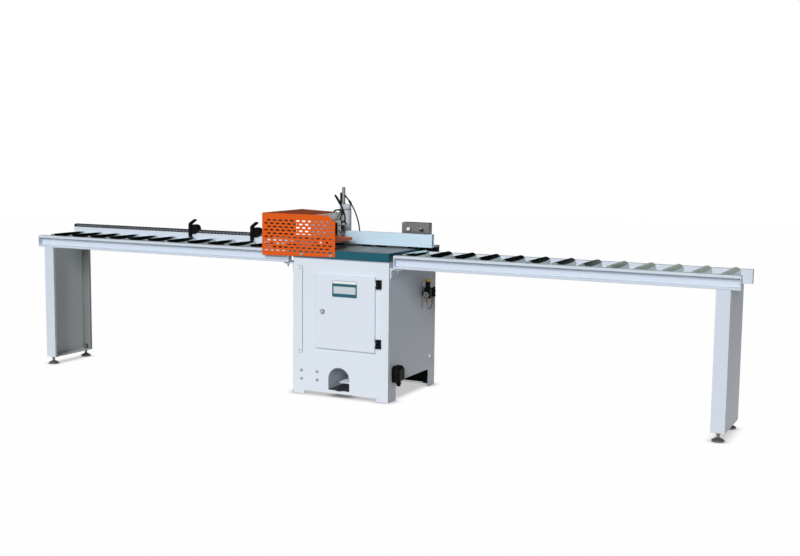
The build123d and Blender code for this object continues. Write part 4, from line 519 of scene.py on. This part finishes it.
def table_finish():
    """Ground iron with brown stains towards the hood on the top, lightened as painted light where the hood
    shades the table; teal paint on the edges below the chamfer.
    """
    look = Finish("table iron and teal")
    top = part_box("table")[1].z / MM
    blotches = {"Vector": look.point, "Scale": 9.0, "Detail": 6.0, "Roughness": 0.7}
    stain_and_painted_light = ramp(look.tree, add_node(look.tree, "TexNoise", blotches).outputs["Fac"], 0.46, 0.70)
    towards_hood = ramp(look.tree, look.along(0), -0.15, 0.25, 1.0, 0.25)
    # Brown stains, partly real and partly painted light: their colour lifts the table where the hood shades it.
    colour = look.layer(look.colours.table_iron, (0.200, 0.165, 0.140), look.both(stain_and_painted_light, towards_hood))
    colour = look.layer(look.colours.teal_paint, colour, look.box(z=(top - 0.6, top + 9)))
    return look.done(colour, grain=700, mottle=0.26, roughness=0.33, spread=0.2, bump=0.06,
                     stretch=(0.05, 1, 1), Specular_IOR_Level=0.3)


def fence_finish():
    """Brushed aluminium on the main fence, frame paint on the stop fence to its left, steel on the ear."""
    look = Finish("fence aluminium")
    colour = look.layer(look.colours.aluminium, look.colours.frame_paint, look.box(x=(-FAR, -329)))
    colour = look.layer(colour, (0.19, 0.20, 0.21), look.box(x=(408, FAR)))
    return look.done(colour, grain=900, mottle=0.10, roughness=0.36, spread=0.16, bump=0.06, metallic=0.05,
                     stretch=BRUSHED_X)


def frame_finish():
    """Frame paint, pale grey-green inside both legs, and painted shade darkening their rear flange and its lip.
    """
    look = Finish("frame paint, leg inside and painted shade")
    left, right = (look.box(x, (-303, 43), (46, 744)) for x in ((-2122.5, -2053), (2053, 2122.5)))
    # Painted shade: the legs' rear flange and its lip are darkened where shade falls inside the legs.
    rear = look.either(look.box(y=(38, 43)), look.box((-2058, 2058), (27, 43)))
    leg_inside_and_shade = look.layer((0.74, 0.78, 0.79), (0.30, 0.325, 0.325), rear)
    colour = look.layer(look.colours.frame_paint, leg_inside_and_shade, look.either(left, right))
    return look.done(colour, grain=500, mottle=0.04, roughness=0.40, spread=0.10, bump=0.10)


def cabinet_finish():
    """White paint outside and in the pedal's pocket, near-black painted shade inside the shell."""
    look = Finish("cabinet white")
    inside = look.box((-304, 304), (-296.5, 316.5), (-FAR, 780.5))
    pocket = look.box((-75, 61), (-FAR, -60), (40, 170))
    painted_shade_inside = look.both(inside, math_node(look.tree, "SUBTRACT", 1.0, pocket))
    # Painted shade: the shell's inside is near black, standing for the shade inside the cabinet.
    colour = look.layer(look.colours.white_paint, (0.030, 0.032, 0.034), painted_shade_inside)
    return look.done(colour, grain=500, mottle=0.035, roughness=0.42, spread=0.10, bump=0.10)


def presser_finish():
    """Orange plate, painted lighter than the hood's orange as painted light against its shade; steel rod above
    it.
    """
    look = Finish("presser orange and steel")
    rod = look.box(z=(883.4, FAR))
    # Painted light: the plate's orange is brighter than the hood's to lift the shade it sits in.
    colour = look.layer((0.92, 0.19, 0.034), look.colours.steel, rod)
    return look.done(colour, grain=500, mottle=0.06, roughness=0.42, spread=0.12, bump=0.08, metallic=rod,
                     Specular_IOR_Level=0.2)


def hood_finish():
    """Orange paint, with painted shade: darker brown on top of the roof and near black inside."""
    look = Finish("hood orange")
    low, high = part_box("blade_hood")
    wall, top = 2.4, high.z / MM
    inside = look.box((low.x / MM + wall, FAR), (low.y / MM + wall, FAR), (-FAR, top - wall))
    # Painted shade: the roof's top is a darker brown than its sides.
    colour = look.layer(look.colours.orange_paint, (0.40, 0.080, 0.032), look.box(z=(top - 0.5, FAR)))
    # Painted shade: the hood's inside is near black.
    colour = look.layer(colour, (0.030, 0.011, 0.008), inside)
    return look.done(colour, grain=500, mottle=0.05, roughness=0.42, spread=0.12, bump=0.10,
                     Specular_IOR_Level=0.2)


def button_finish():
    """Black button with a pale upper part that is a painted highlight."""
    look = Finish("stop button")
    # Painted highlight: the button's upper part is pale grey.
    colour = look.layer(look.colours.black_plastic, (0.42, 0.43, 0.44), look.box(z=(937, FAR)))
    return look.done(colour, grain=700, mottle=0.06, roughness=0.35, spread=0.1, bump=0.04)


def lock_finish():
    """Chromed head with a dark rim beyond a radius and a slanted key slot painted near black as painted shade.
    """
    look = Finish("lock chrome")
    centred = look.centred((-104, 0, 484))
    slant = {"Vector": centred, "Axis": (0, 1, 0), "Angle": math.radians(40)}
    slot = look.box((-1.6, 1.6), z=(-7.5, 7.5), point=add_node(look.tree, "VectorRotate", slant).outputs[0])
    rim = math_node(look.tree, "GREATER_THAN", look.from_axis(centred), 0.0088)
    colour = look.layer((0.74, 0.76, 0.78), (0.10, 0.105, 0.11), rim)
    # Painted shade: the key slot is a near-black mark in place of the shade inside a slot.
    colour = look.layer(colour, (0.01, 0.01, 0.012), slot)
    return look.done(colour, grain=600, mottle=0.1, roughness=0.3, spread=0.12, bump=0.03, metallic=0.3)


LAYERED_FINISHES = {
    "cabinet": cabinet_finish, "roller_frames": frame_finish, "blade_hood": hood_finish,
    "clamp_foot": presser_finish, "table": table_finish, "fences": fence_finish, "stop_button": button_finish,
    "door_lock": lock_finish,
}


class SAW_OT_finishes(bpy.types.Operator):
    """Give every piece of the saw that keeps its shape its finish"""

    bl_idname = "saw.finishes"
    bl_label = "Finishes"

    def execute(self, context):
        looks = {node: build() for node, build in LAYERED_FINISHES.items()}
        for name, (*_, nodes) in PLAIN_FINISHES.items():
            looks.update(dict.fromkeys(nodes, plain(name)))
        for node, look in looks.items():
            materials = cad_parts[node].data.materials
            materials.clear()
            materials.append(look)
        return {"FINISHED"}


HOSE_ROUTE = (
    (-0.178, 0.095, 1.104), (-0.166, 0.096, 1.091), (-0.152, 0.097, 1.072), (-0.136, 0.098, 1.047),
    (-0.121, 0.099, 1.019), (-0.109, 0.1005, 0.988), (-0.099, 0.1015, 0.954), (-0.093, 0.102, 0.918),
    (-0.091, 0.1025, 0.885), (-0.091, 0.1025, 0.858),
)


class SAW_OT_hose(bpy.types.Operator):
    """Lay the air hose from the clamp's rod to its socket on the table"""

    bl_idname = "saw.hose"
    bl_label = "Air hose"

    def execute(self, context):
        sizes = context.scene.saw_sizes
        line = bpy.data.curves.new("clamp_air_hose", "CURVE")
        line.dimensions = "3D"
        line.resolution_u = 12
        spline = line.splines.new("NURBS")
        spline.points.add(len(HOSE_ROUTE) - 1)
        spline.points.foreach_set("co", np.column_stack([HOSE_ROUTE, np.ones(len(HOSE_ROUTE))]).ravel())
        spline.order_u = 3
        spline.use_endpoint_u = True
        hose = add_object("clamp_air_hose", line)
        sleeve = self.sleeve(hose)
        line.bevel_depth = sizes.hose_diameter / 2
        line.bevel_resolution = 5
        line.use_fill_caps = True
        line.materials.append(plain("black rubber"))
        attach(hose, "base")
        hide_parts("clamp_hose")
        return {"FINISHED"}

    def sleeve(self, hose):
        """Turned sleeve: its axis is the chord of the hose's own line about a sixth of the way along."""
        drawn = bpy.data.meshes.new_from_object(hose)
        points = np.empty(3 * len(drawn.vertices))
        drawn.vertices.foreach_get("co", points)
        bpy.data.meshes.remove(drawn)
        points = points.reshape(-1, 3) / MM
        at = len(points) // 6
        profile = [(-15, 4.6), (-13, 5.6), (-2, 6.6), (9, 6.6), (11, 5.4), (14, 4.6)]
        turned_sleeve = capped(profile, points[at], points[at + 2] - points[at - 2], 24)
        return add_piece("clamp_hose_sleeve", [turned_sleeve], "black plastic")


CLAMP_POST = (-184, 94.5, 0)
HOSE_SOCKET = (-91, 102.5, 0)
LEVER_PIN = (-127, -14, 955)


class SAW_OT_clamp(bpy.types.Operator):
    """Build the hold-down clamp: column, rod, arm, head, lever ears and hose ends"""

    bl_idname = "saw.clamp"
    bl_label = "Hold-down clamp"

    def execute(self, context):
        count = context.scene.saw_sizes.round_steps
        column = capped([(TABLE_TOP, 36), (1029, 36), (1031, 31), (1036, 31), (1037, 34), (1058, 34),
                         (1060.5, 33.2), (1062, 31)], CLAMP_POST, "z", count)
        add_piece("clamp_post", [column], "white paint", replaced=["clamp_column"])
        seal = capped([(1029, 34.6), (1037, 34.6)], CLAMP_POST, "z", count)
        add_piece("clamp_post_seal", [seal], "rod steel")
        rod = capped([(1060, 13), (1066, 13), (1067, 10), (1150, 10), (1151, 9), (1153, 9), (1154, 10),
                      (1159, 10), (1162, 7.5)], (-196, 94.5, 0), "z", count)
        add_piece("clamp_rod", [rod], "rod steel")
        guide_pin = capped([(1036, 7), (1127, 7), (1130, 5)], (-212, 94.5, 0), "z", 24)
        add_piece("clamp_guide_pin", [guide_pin], "black plastic")
        arm = prism(rounded_outline(13, 47, 3), (4, 90), (-172.5, 0, 948.5), "y", 1.2)
        add_piece("clamp_arm", [arm, self.head()], "clamp grey")
        ear = rounded_outline(25.5, 13, 6.4)
        ears = [prism(ear, y, (-133.2, 0, LEVER_PIN[2]), "y", 0.8) for y in ((-26, -21), (-7, -2))]
        bolt = capped([(-13.5, 3), (13.5, 3)], LEVER_PIN, "y", 20)
        add_piece("clamp_lever_ears", [*ears, bolt], "clamp grey")
        pipe = smooth_path([(-173, 12, 970), (-173, 12, 984), (-176, 26, 996), (-177, 40, 1010),
                            (-182, 52, 1023), (-200, 56, 1030), (-222, 58, 1030), (-243, 62, 1021),
                            (-250, 70, 1006), (-236, 88, 992), (-214, 94, 988)])
        nut = prism(hexagon_outline(13), (971.5, 979), (-173, 12, 0), "z", 0.6)
        add_piece("clamp_air_pipe", [tube(pipe, 4.6, (0, 1, 0), 14), nut], "black plastic")
        guide = block((-180, -166), (-36.5, -32.3), (893, 962), 1.2, 0.8)
        stud = capped([(-35.5, 3.6), (-34.6, 4.6), (-32.3, 4.6)], (-154, 0, 947), "y", 24)
        backing = prism(rounded_outline(30, 44, 4), (-145.2, -142), (0, -14, 948), "x", 0.6)
        latch = smooth_path([(-158, -34.6, 919), (-147, -35.4, 905), (-143, -33, 905), (-142.8, -14, 914),
                             (-142.8, 4, 922)], 3)
        add_piece("clamp_head_fittings", [guide, stud, backing, tube(latch, 2.6, (0, 0, 1), 12)],
                  "black plastic")
        start, after = np.array(HOSE_ROUTE[:2]) / MM
        fitting = capped([(-15, 5), (-9, 5), (-8.6, 4.6), (-4, 4.6), (-3.6, 5), (-0.6, 5), (0, 4.6)],
                         start, after - start, 32)
        socket = prism(hexagon_outline(13.6), (TABLE_TOP, 842), HOSE_SOCKET, "z", 0.6)
        collar = capped([(842, 6), (849, 6), (850, 7), (856.5, 7), (858, 5.6)], HOSE_SOCKET, "z", 32)
        add_piece("clamp_hose_ends", [fitting, socket, collar], "black plastic")
        return {"FINISHED"}

    def head(self):
        """Block with a bore from below: rings that go up the bore, down to the rim, out to the rounded outline
        and up the sides; the bore's circle is sampled at the turns of the outline's points."""
        outline = rounded_outline(37, 37, 3, 8)
        turn = np.arctan2(outline[:, 1], outline[:, 0])
        bore = 8.05 * on_circle(turn)
        inset = outline * (17.3 / 18.5)
        rings = np.stack([bore * 0, bore, bore, inset, outline, outline, inset, outline * 0])
        return place(rings, [970, 970, 890, 890, 891.2, 973.8, 975, 975], (-163.5, -14, 0), "z")


class SAW_OT_lever(bpy.types.Operator):
    """Build the clamp's bent hand lever with its grip"""

    bl_idname = "saw.lever"
    bl_label = "Hand lever"

    def execute(self, context):
        steps = np.array([(0, 0, 0), (0, 0, 45), (-13, 0, 78), (-31, 0, 117), (-67, 0, 165)])
        path = smooth_path(np.array(LEVER_PIN) + steps)
        run = np.concatenate([[0], np.cumsum(np.linalg.norm(np.diff(path, axis=0), axis=1))])
        share = run / run[-1]
        grip_start = 0.64
        swell = 1 / (1 + np.exp(-(share - grip_start) * 90))
        radius = 5 + swell * (2.4 + 0.1 * np.cos(share * 160))
        radius[-4:] = (7.3, 7.2, 6.8, 5.4)
        hub = turned([(-6.5, 3.05), (-6.5, 5.6), (-5.7, 6.5), (5.7, 6.5), (6.5, 5.6), (6.5, 3.05),
                      (-6.5, 3.05)], LEVER_PIN, "y", 32)
        add_piece("clamp_hand_lever", [tube(path, radius, (0, 1, 0)), hub], "black plastic",
                  "clamp_lever", ["clamp_lever"])
        return {"FINISHED"}


class SAW_OT_air_unit(bpy.types.Operator):
    """Build the air service unit: bodies, collar, clear bowls, gauge and regulator knob"""

    bl_idname = "saw.air_unit"
    bl_label = "Air service unit"

    def execute(self, context):
        x, regulator, lubricator, level = 341, 126.5, 192.5, 560
        on_regulator, on_lubricator, on_gauge = (x, regulator, 0), (x, lubricator, 0), (x, 0, level)
        body = block((323, 359), (108.5, 144.5), (538, 598), 5, 2)
        arm = prism(rounded_outline(20, 20, 3), (CABINET_SIDE, 330), (0, regulator, level), "x", 0.5)
        oiler = capped([(541, 16.5), (543, 18), (553, 18), (554, 17), (566, 17), (567, 18), (582, 18),
                        (585, 15), (585, 7), (591, 7), (593, 5.5)], on_lubricator, "z", 40)
        nipple = turned([(143, 10), (152, 10), (153, 8.5), (166, 8.5), (167, 10), (176, 10)], on_gauge, "y", 32)
        bend = smooth_path([(x, 204, level), (x, 216.5, level), (x, 216.5, level + 36)], 3)
        add_piece("air_bodies", [body, arm, oiler, nipple, tube(bend, 6.5, (1, 0, 0), 16)], "black plastic",
                  replaced=["air_unit"])
        plate = block((CABINET_SIDE, CABINET_SIDE + 4), (113.5, 139.5), (478, 628), 1.8, 0.6)
        add_piece("air_wall_plate", [plate], "rod steel")
        drain = smooth_path([(x, regulator, 486), (x, regulator, 474), (x, regulator + 22, 470),
                             (x, regulator + 52, 482), (x, lubricator - 8, 505), (x, lubricator - 8, 530)])
        add_piece("air_drain_pipe", [tube(drain, 3.2, (1, 0, 0), 12)], "rod steel")
        collar = turned([(518, 7), (518, 10.4), (519, 11), (526, 11), (527, 10.2), (529, 10.2), (530, 11),
                         (537, 11), (538.2, 10.4), (538.2, 7)], on_regulator, "z", 40)
        add_piece("air_collar", [collar], "brass")
        bowls = [capped([(520, 8), (518, 9), (504, 9), (500, 7.5), (498, 4), (481.5, 4), (480, 3)],
                        on_regulator, "z", 32),
                 turned([(543, 0), (543, 9), (541, 10), (500, 10), (495, 8.5), (492.5, 5), (492, 0)],
                        on_lubricator, "z", 32)]
        add_piece("air_bowls", bowls, "clear bowl")
        rim = capped([(108.5, 16.5), (102, 17.5), (99.4, 17.5), (98.6, 16.8), (98.6, 15), (100, 14.6)],
                     on_gauge, "y", 40)
        add_piece("air_gauge_rim", [rim], "brushed stainless")
        face = capped([(100.4, 14.6), (99.6, 14.6)], on_gauge, "y", 40)
        add_piece("air_gauge_face", [face], self.dial(on_gauge))
        grip = ribbed([(598.2, 0, 0), (598.2, 12.5, 0), (600, 13.5, 0), (603, 13.5, 1), (631, 13.5, 1),
                       (633, 13, 0), (635, 12, 0), (635, 0, 0)], context.scene.saw_sizes.knob_ribs,
                      on_regulator, "z")
        add_piece("regulator_grip", [grip], "black plastic", "regulator_knob",
                  ["regulator_knob"])
        cap = capped([(635, 15.4), (636, 16), (646, 16), (649.5, 14.5), (651, 11)], on_regulator, "z", 40)
        add_piece("regulator_cap", [cap], "yellow plastic", "regulator_knob")
        return {"FINISHED"}

    def dial(self, centre):
        """Grey dial with radial ticks near the rim, a blue middle and a dark hand: stripes of the turn about
        the gauge's axis, shown between two radii."""
        look = Finish("gauge dial")
        tree = look.tree
        centred = look.centred(centre)
        radius = look.from_axis(centred)
        side, _, up = split(tree, centred)
        turn = math_node(tree, "ARCTAN2", up, side)
        stripes = look.ticks(math_node(tree, "ADD", turn, 10.0), math.pi / 12, 0.25)
        ring = look.both(math_node(tree, "GREATER_THAN", radius, 0.0100),
                         math_node(tree, "LESS_THAN", radius, 0.0132))
        hand = look.box((-0.8, 0.8), z=(-3, 10), point=centred)
        middle = math_node(tree, "LESS_THAN", radius, 0.0055)
        colour = look.layer((0.26, 0.27, 0.28), (0.02, 0.05, 0.22), middle)
        colour = look.layer(colour, (0.01, 0.01, 0.012), look.either(look.both(stripes, ring), hand))
        return look.done(colour, grain=300, mottle=0.04, roughness=0.25, spread=0.08, bump=0.02)


class SAW_OT_cabinet_trim(bpy.types.Operator):
    """Build the cabinet's trim: hinges, power inlet, hole cap, back skirt, plate on the door, painted shade
    round the cover strip, pedal tread
    """

    bl_idname = "saw.cabinet_trim"
    bl_label = "Cabinet trim"

    def execute(self, context):
        heights, pin = (324, 654), (232, -307.5, 0)
        leaves = [block((239, 258), (-309.5, -297.5), (z - 25, z + 25), 2.5, 1.5) for z in heights]
        barrels = [capped([(low, 5.4), (low + 0.6, 6), (low + 14.9, 6), (low + 15.5, 5.4)], pin, "z", 32)
                   for z in heights for low in (z - 25, z + 9.5)]
        webs = [block((231, 240), (-312.5, -298), (low, low + 15.4), 1, 0.4)
                for z in heights for low in (z - 25, z + 9.6)]
        screws = [capped([(-311, 2.6), (-310.2, 3.6), (-309.4, 3.6)], (248.5, 0, z + dz), "y", 24)
                  for z in heights for dz in (-15, 15)]
        add_piece("hinge_leaves", [*leaves, *barrels, *webs, *screws], "black plastic",
                  replaced=["cabinet_fittings"])
        knuckles = [capped([(z - 8.9, 5.8), (z - 8.3, 6.3), (z + 8.3, 6.3), (z + 8.9, 5.8)], pin, "z", 32)
                    for z in heights]
        add_piece("hinge_knuckles", knuckles, "black plastic", "door")
        gland = capped([(109, 13), (107, 15), (98, 15), (97, 12), (86, 12), (84, 10)], (327, -217.5, 0),
                       "z", 32)
        add_piece("power_inlet", [self.inlet(), gland], "black plastic")
        cap = turned([(CABINET_SIDE, 0), (CABINET_SIDE, 13.5), (306, 13.5), (308, 12.6), (311, 9.5), (312.4, 5),
                      (312.8, 0)], (0, 246.5, 179), "x", 40)
        add_piece("hole_cap", [cap], "pedal plate")
        thick = context.scene.saw_sizes.plate_thickness / MM
        plate = prism(rounded_outline(156, 92, 6), (-313.5 - thick, -313.4), (35, 0, 617), "y", 0.3)
        add_piece("door_plate", [plate], self.plate_finish(), "door")
        # The back skirt closes the cabinet's back at the bottom; its near-black finish is painted shade for the
        # cabinet's dark inside.
        sheet = np.array([(0.75, 110), (-0.75, 110), (-0.75, 0.75), (-19, 0.75), (-19, -0.75), (0.75, -0.75)])
        skirt = prism(sheet, (-298, 298), (0, 313.4, 8.8), "x")
        add_piece("back_skirt", [skirt], "painted shade black")
        # Painted shade: a thin black rubber ring round the cover strip stands for the shadow lines at its
        # edges.
        gasket = prism(rounded_outline(37.6, 499.6, 11), (-298.6, -297.4), (-260, 0, 483.5), "y", 0.2)
        add_piece("strip_shade_outline", [gasket], "black rubber")
        rib = rounded_outline(72, 2.6, 1.2)
        ribs = [prism(rib, (y - 1.5, y + 1.5), (-7, 0, 74), "y", 0.6) for y in np.arange(-208, -100, 12)]
        add_piece("pedal_tread", ribs, "pedal plate", "pedal")
        return {"FINISHED"}

    def inlet(self):
        """Housing with cut corners: rings of one eight-sided outline along X, drawn in and out again for the
        ribs, then drawn in to the narrower front."""
        corner = np.array([[44, 34], [35, 44.5], [-35, 44.5], [-44, 34], [-44, -34], [-35, -44.5], [35, -44.5],
                           [44, -34]])
        depth = CABINET_SIDE + np.array([0, 0, 6, 7, 9, 10, 14, 15, 17, 18, 28, 42, 44, 44])
        scale = np.array([0, 1, 1, 0.94, 0.94, 0.99, 0.99, 0.94, 0.94, 0.98, 0.97, 0.74, 0.70, 0])
        return place(scale[:, None, None] * corner[None], depth, (0, -217.5, 152.5), "x")

    def plate_finish(self):
        """Plate with a grey rim, a white head, a teal field and a pale ruled table in it."""
        look = Finish("door plate")
        table = look.box((-34, 104), z=(590, 630))
        lines = look.either(look.ticks(look.along(2), 0.0082, 0.16), look.box((40, 43), z=(0, FAR)))
        colour = look.layer((0.30, 0.33, 0.35), (0.86, 0.88, 0.88), look.box((-40, 110), z=(646, 660)))
        colour = look.layer(colour, look.colours.teal_paint, look.box((-42, 112), z=(0, 646)))
        colour = look.layer(colour, (0.62, 0.68, 0.72), table)
        colour = look.layer(colour, (0.46, 0.54, 0.58), look.both(table, lines))
        return look.done(colour, grain=600, mottle=0.05, roughness=0.35, spread=0.1, bump=0.03)


class SAW_OT_scale(bpy.types.Operator):
    """Lay the scale tape along the stop fence's dark rail"""

    bl_idname = "saw.scale"
    bl_label = "Scale tape"

    def execute(self, context):
        sizes = context.scene.saw_sizes
        rail = 27.5
        span = (rail - sizes.tape_thickness / MM, rail)
        tape = prism(rounded_outline(1810, 13, 1), span, (-1245, 0, 863), "y", 0.05)
        look = Finish("scale tape")
        along = math_node(look.tree, "ADD", look.along(0), 10.0)
        fine = look.both(look.ticks(along, sizes.tick_pitch, 0.22), look.box(z=(864.5, 868.5)))
        marks = look.both(look.ticks(along, sizes.mark_pitch, 0.34), look.box(z=(858, 863.5)))
        colour = look.layer((0.016, 0.018, 0.026), (0.24, 0.26, 0.32), look.either(fine, marks))
        material = look.done(colour, grain=500, mottle=0.1, roughness=0.4, spread=0.1, bump=0.03)
        add_piece("scale_tape", [tape], material)
        return {"FINISHED"}


class SAW_OT_control(bpy.types.Operator):
    """Build the control box's bezels and screws"""

    bl_idname = "saw.control"
    bl_label = "Control box fittings"

    def execute(self, context):
        rings = [turned([(92.5, 11.1), (92.5, 13.6), (93.2, 14.8), (95, 15.2), (97.5, 15.4), (97.5, 11.1),
                         (92.5, 11.1)], (x, 0, 935), "y") for x in (230, 309)]
        add_piece("button_bezels", rings, "zinc plated steel")
        screws = [capped([(95.4, 2), (96.2, 3.4), (97.6, 3.4)], (x, 0, z), "y", 24)
                  for x in (194, 344) for z in (875, 963)]
        add_piece("control_screws", screws, "zinc plated steel")
        return {"FINISHED"}


class SAW_OT_motor(bpy.types.Operator):
    """Build the motor with its cooling fins, end bells and fan cover"""

    bl_idname = "saw.motor"
    bl_label = "Motor"

    def execute(self, context):
        sizes = context.scene.saw_sizes
        fin = sizes.fin_depth / MM
        body = ribbed([(30, 14.05, 0), (-30, 14.05, 0), (-30, 60, 0), (-27, 66, 0), (-24, 88, 0), (-20, 93, 0),
                       (-6, 95, 0), (12, 95, 0), (13, 94, 0), (16, 94, fin), (224, 94, fin), (227, 94, 0),
                       (228, 95, 0), (246, 95, 0), (250, 93, 0), (264, 92, 0), (268, 88, 0), (270, 82, 0),
                       (270, 60, 0), (267, 58, 0), (267, 0, 0)], sizes.fin_count, (0, 129.5, 360), "x")
        add_piece("motor_case", [body], "motor aluminium", "swing_arm", ["motor"])
        return {"FINISHED"}


DISC_STEPS = 64


class SAW_OT_stage(bpy.types.Operator):
    """Set the floor, the soft light and the camera"""

    bl_idname = "saw.stage"
    bl_label = "Stage"

    def execute(self, context):
        stage = context.scene.saw_stage
        context.scene.view_settings.view_transform = "Standard"
        self.floor(stage)
        self.flag()
        self.world(context, stage)
        self.lights(stage)
        self.camera(context, stage)
        return {"FINISHED"}

    def seen(self, tree):
        """1 for rays from the camera, from glossy surfaces and through clear ones."""
        path = add_node(tree, "LightPath").outputs
        mirrored = math_node(tree, "MAXIMUM", path["Is Glossy Ray"], path["Is Transmission Ray"])
        return math_node(tree, "MAXIMUM", path["Is Camera Ray"], mirrored)

    def disc(self, name, radii, origin, axis):
        """Flat mesh of circles of some radii round a point."""
        rings = turned([(0, radius) for radius in radii], origin, axis, DISC_STEPS)
        mesh = bpy.data.meshes.new(name)
        faces = quads(len(radii), DISC_STEPS, 0)
        mesh.from_pydata((rings.reshape(-1, 3) * MM).tolist(), [], faces.tolist())
        return mesh

    def floor(self, stage):
        """Round floor that looks white, greyed by ambient occlusion where the saw stands close over it and by a
        painted shadow under the cabinet.
        """
        mesh = self.disc("floor", (0, 1500, 4000, 16000), (0, 0, 0), "z")
        material, tree, shader = new_material("floor")
        set_inputs(tree, shader, {"Base Color": rgba(stage.floor), "Roughness": 0.9})
        near = add_node(tree, "AmbientOcclusion", {"Distance": 0.06}, samples=16)
        point = split(tree, add_node(tree, "TexCoord").outputs["Object"])
        # Painted shadow: over the cabinet's footprint the floor's glow drops to 0.55.
        across, along = (ramp(tree, math_node(tree, "ABSOLUTE", point[axis]), 0.26, 0.33, 0.45, 0.0,
                              interpolation_type="SMOOTHSTEP") for axis in (0, 1))
        lit = math_node(tree, "SUBTRACT", 1.0, math_node(tree, "MINIMUM", across, along))
        shade = math_node(tree, "MULTIPLY", near.outputs["AO"], lit)
        glow = add_node(tree, "Emission", {"Color": shade, "Strength": 1.0})
        share = math_node(tree, "MULTIPLY", self.seen(tree), 0.99)
        mixed = add_node(tree, "MixShader", {0: share, 1: shader.outputs[0], 2: glow.outputs[0]})
        set_inputs(tree, tree.nodes["Material Output"], {"Surface": mixed.outputs[0]})
        mesh.materials.append(material)
        floor = add_object("floor", mesh)

    def flag(self):
        """Dark cloth far behind with a round pale window, seen only as a reflection: it gives the rollers their
        dark upper half, and the window leaves the outer right ones pale."""
        mesh = self.disc("dark_flag", (0, 6150, 90000), (1400, 20000, 830), "y")
        for name, colour in (("pale window", (0.52, 0.56, 0.51)), ("dark cloth", (0.006, 0.007, 0.0065))):
            material, tree, shader = new_material(name)
            set_inputs(tree, shader, {"Base Color": rgba(colour), "Specular IOR Level": 0})
            mesh.materials.append(material)
        mesh.polygons.foreach_set("material_index", np.repeat((0, 1), DISC_STEPS))
        flag = add_object("dark_flag", mesh)
        flag.visible_camera = False
        flag.visible_diffuse = False
        flag.visible_transmission = False
        flag.visible_shadow = False

    def world(self, context, stage):
        """White round the horizon, darker overhead, and much weaker as a light than as a background."""
        world = bpy.data.worlds.new("studio")
        world.use_nodes = True
        tree = world.node_tree
        lamp = tree.nodes["Background"]
        up = split(tree, add_node(tree, "TexCoord").outputs["Generated"])[2]
        fade = ramp(tree, up, 0.25, 0.85, 1.0, stage.zenith)
        set_inputs(tree, lamp, {"Color": fade, "Strength": stage.fill})
        shown = add_node(tree, "Background", {"Color": fade, "Strength": 1.0})
        mixed = add_node(tree, "MixShader", {0: self.seen(tree), 1: lamp.outputs[0], 2: shown.outputs[0]})
        set_inputs(tree, tree.nodes["World Output"], {"Surface": mixed.outputs[0]})
        context.scene.world = world

    def lights(self, stage):
        """One broad light from the front, a little to the right, and a weaker one from the back left that isn't
        mirrored in metal."""
        for name, energy, azimuth in (("key", stage.key, stage.key_azimuth),
                                      ("back_light", stage.back_light, stage.back_azimuth)):
            light = bpy.data.lights.new(name, "SUN")
            light.energy = energy
            light.angle = stage.key_softness
            lamp = add_object(name, light)
            lamp.visible_glossy = name == "key"
            level = math.cos(stage.key_height)
            source = Vector((math.sin(azimuth) * level, -math.cos(azimuth) * level, math.sin(stage.key_height)))
            lamp.rotation_euler = source.to_track_quat("Z", "Y").to_euler()

    def camera(self, context, stage):
        """Camera that looks forward and down: its axes come from yaw, pitch and roll."""
        lens = bpy.data.cameras.new("camera")
        lens.lens = stage.lens
        lens.sensor_width = 36
        lens.sensor_fit = "HORIZONTAL"
        lens.clip_end = 200
        flat = math.cos(stage.pitch)
        forward = Vector((-math.sin(stage.yaw) * flat, math.cos(stage.yaw) * flat, -math.sin(stage.pitch)))
        level = Vector((math.cos(stage.yaw), math.sin(stage.yaw), 0))
        upright = level.cross(forward)
        right = level * math.cos(stage.roll) + upright * math.sin(stage.roll)
        up = upright * math.cos(stage.roll) - level * math.sin(stage.roll)
        eye = add_object("camera", lens)
        eye.matrix_world = Matrix.Translation(stage.place) @ Matrix((right, up, -forward)).transposed().to_4x4()
        context.scene.camera = eye


OPERATORS = (SAW_OT_stage, SAW_OT_hose, SAW_OT_finishes, SAW_OT_clamp, SAW_OT_lever, SAW_OT_air_unit,
             SAW_OT_cabinet_trim, SAW_OT_scale, SAW_OT_control, SAW_OT_motor)


class SAW_PT_panel(bpy.types.Panel):
    """Lists the saw's dressing steps"""

    bl_idname = "SAW_PT_panel"
    bl_label = "Cut-off saw"
    bl_space_type = "VIEW_3D"
    bl_region_type = "UI"
    bl_category = "Saw"

    def draw(self, context):
        for operator in OPERATORS:
            self.layout.operator(operator.bl_idname)


GROUPS = (SawColours, SawSizes, SawStage)


def register():
    for part in (*GROUPS, *OPERATORS, SAW_PT_panel):
        bpy.utils.register_class(part)
    bpy.types.Scene.saw_colours = PointerProperty(type=SawColours)
    bpy.types.Scene.saw_sizes = PointerProperty(type=SawSizes)
    bpy.types.Scene.saw_stage = PointerProperty(type=SawStage)


def unregister():
    del bpy.types.Scene.saw_stage
    del bpy.types.Scene.saw_sizes
    del bpy.types.Scene.saw_colours
    for part in (SAW_PT_panel, *reversed(OPERATORS), *reversed(GROUPS)):
        bpy.utils.unregister_class(part)


def main():
    """Registers the add-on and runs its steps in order."""
    register()
    bpy.ops.saw.stage()
    bpy.ops.saw.hose()
    bpy.ops.saw.finishes()
    bpy.ops.saw.clamp()
    bpy.ops.saw.lever()
    bpy.ops.saw.air_unit()
    bpy.ops.saw.cabinet_trim()
    bpy.ops.saw.scale()
    bpy.ops.saw.control()
    bpy.ops.saw.motor()


if __name__ == "__main__":
    main()
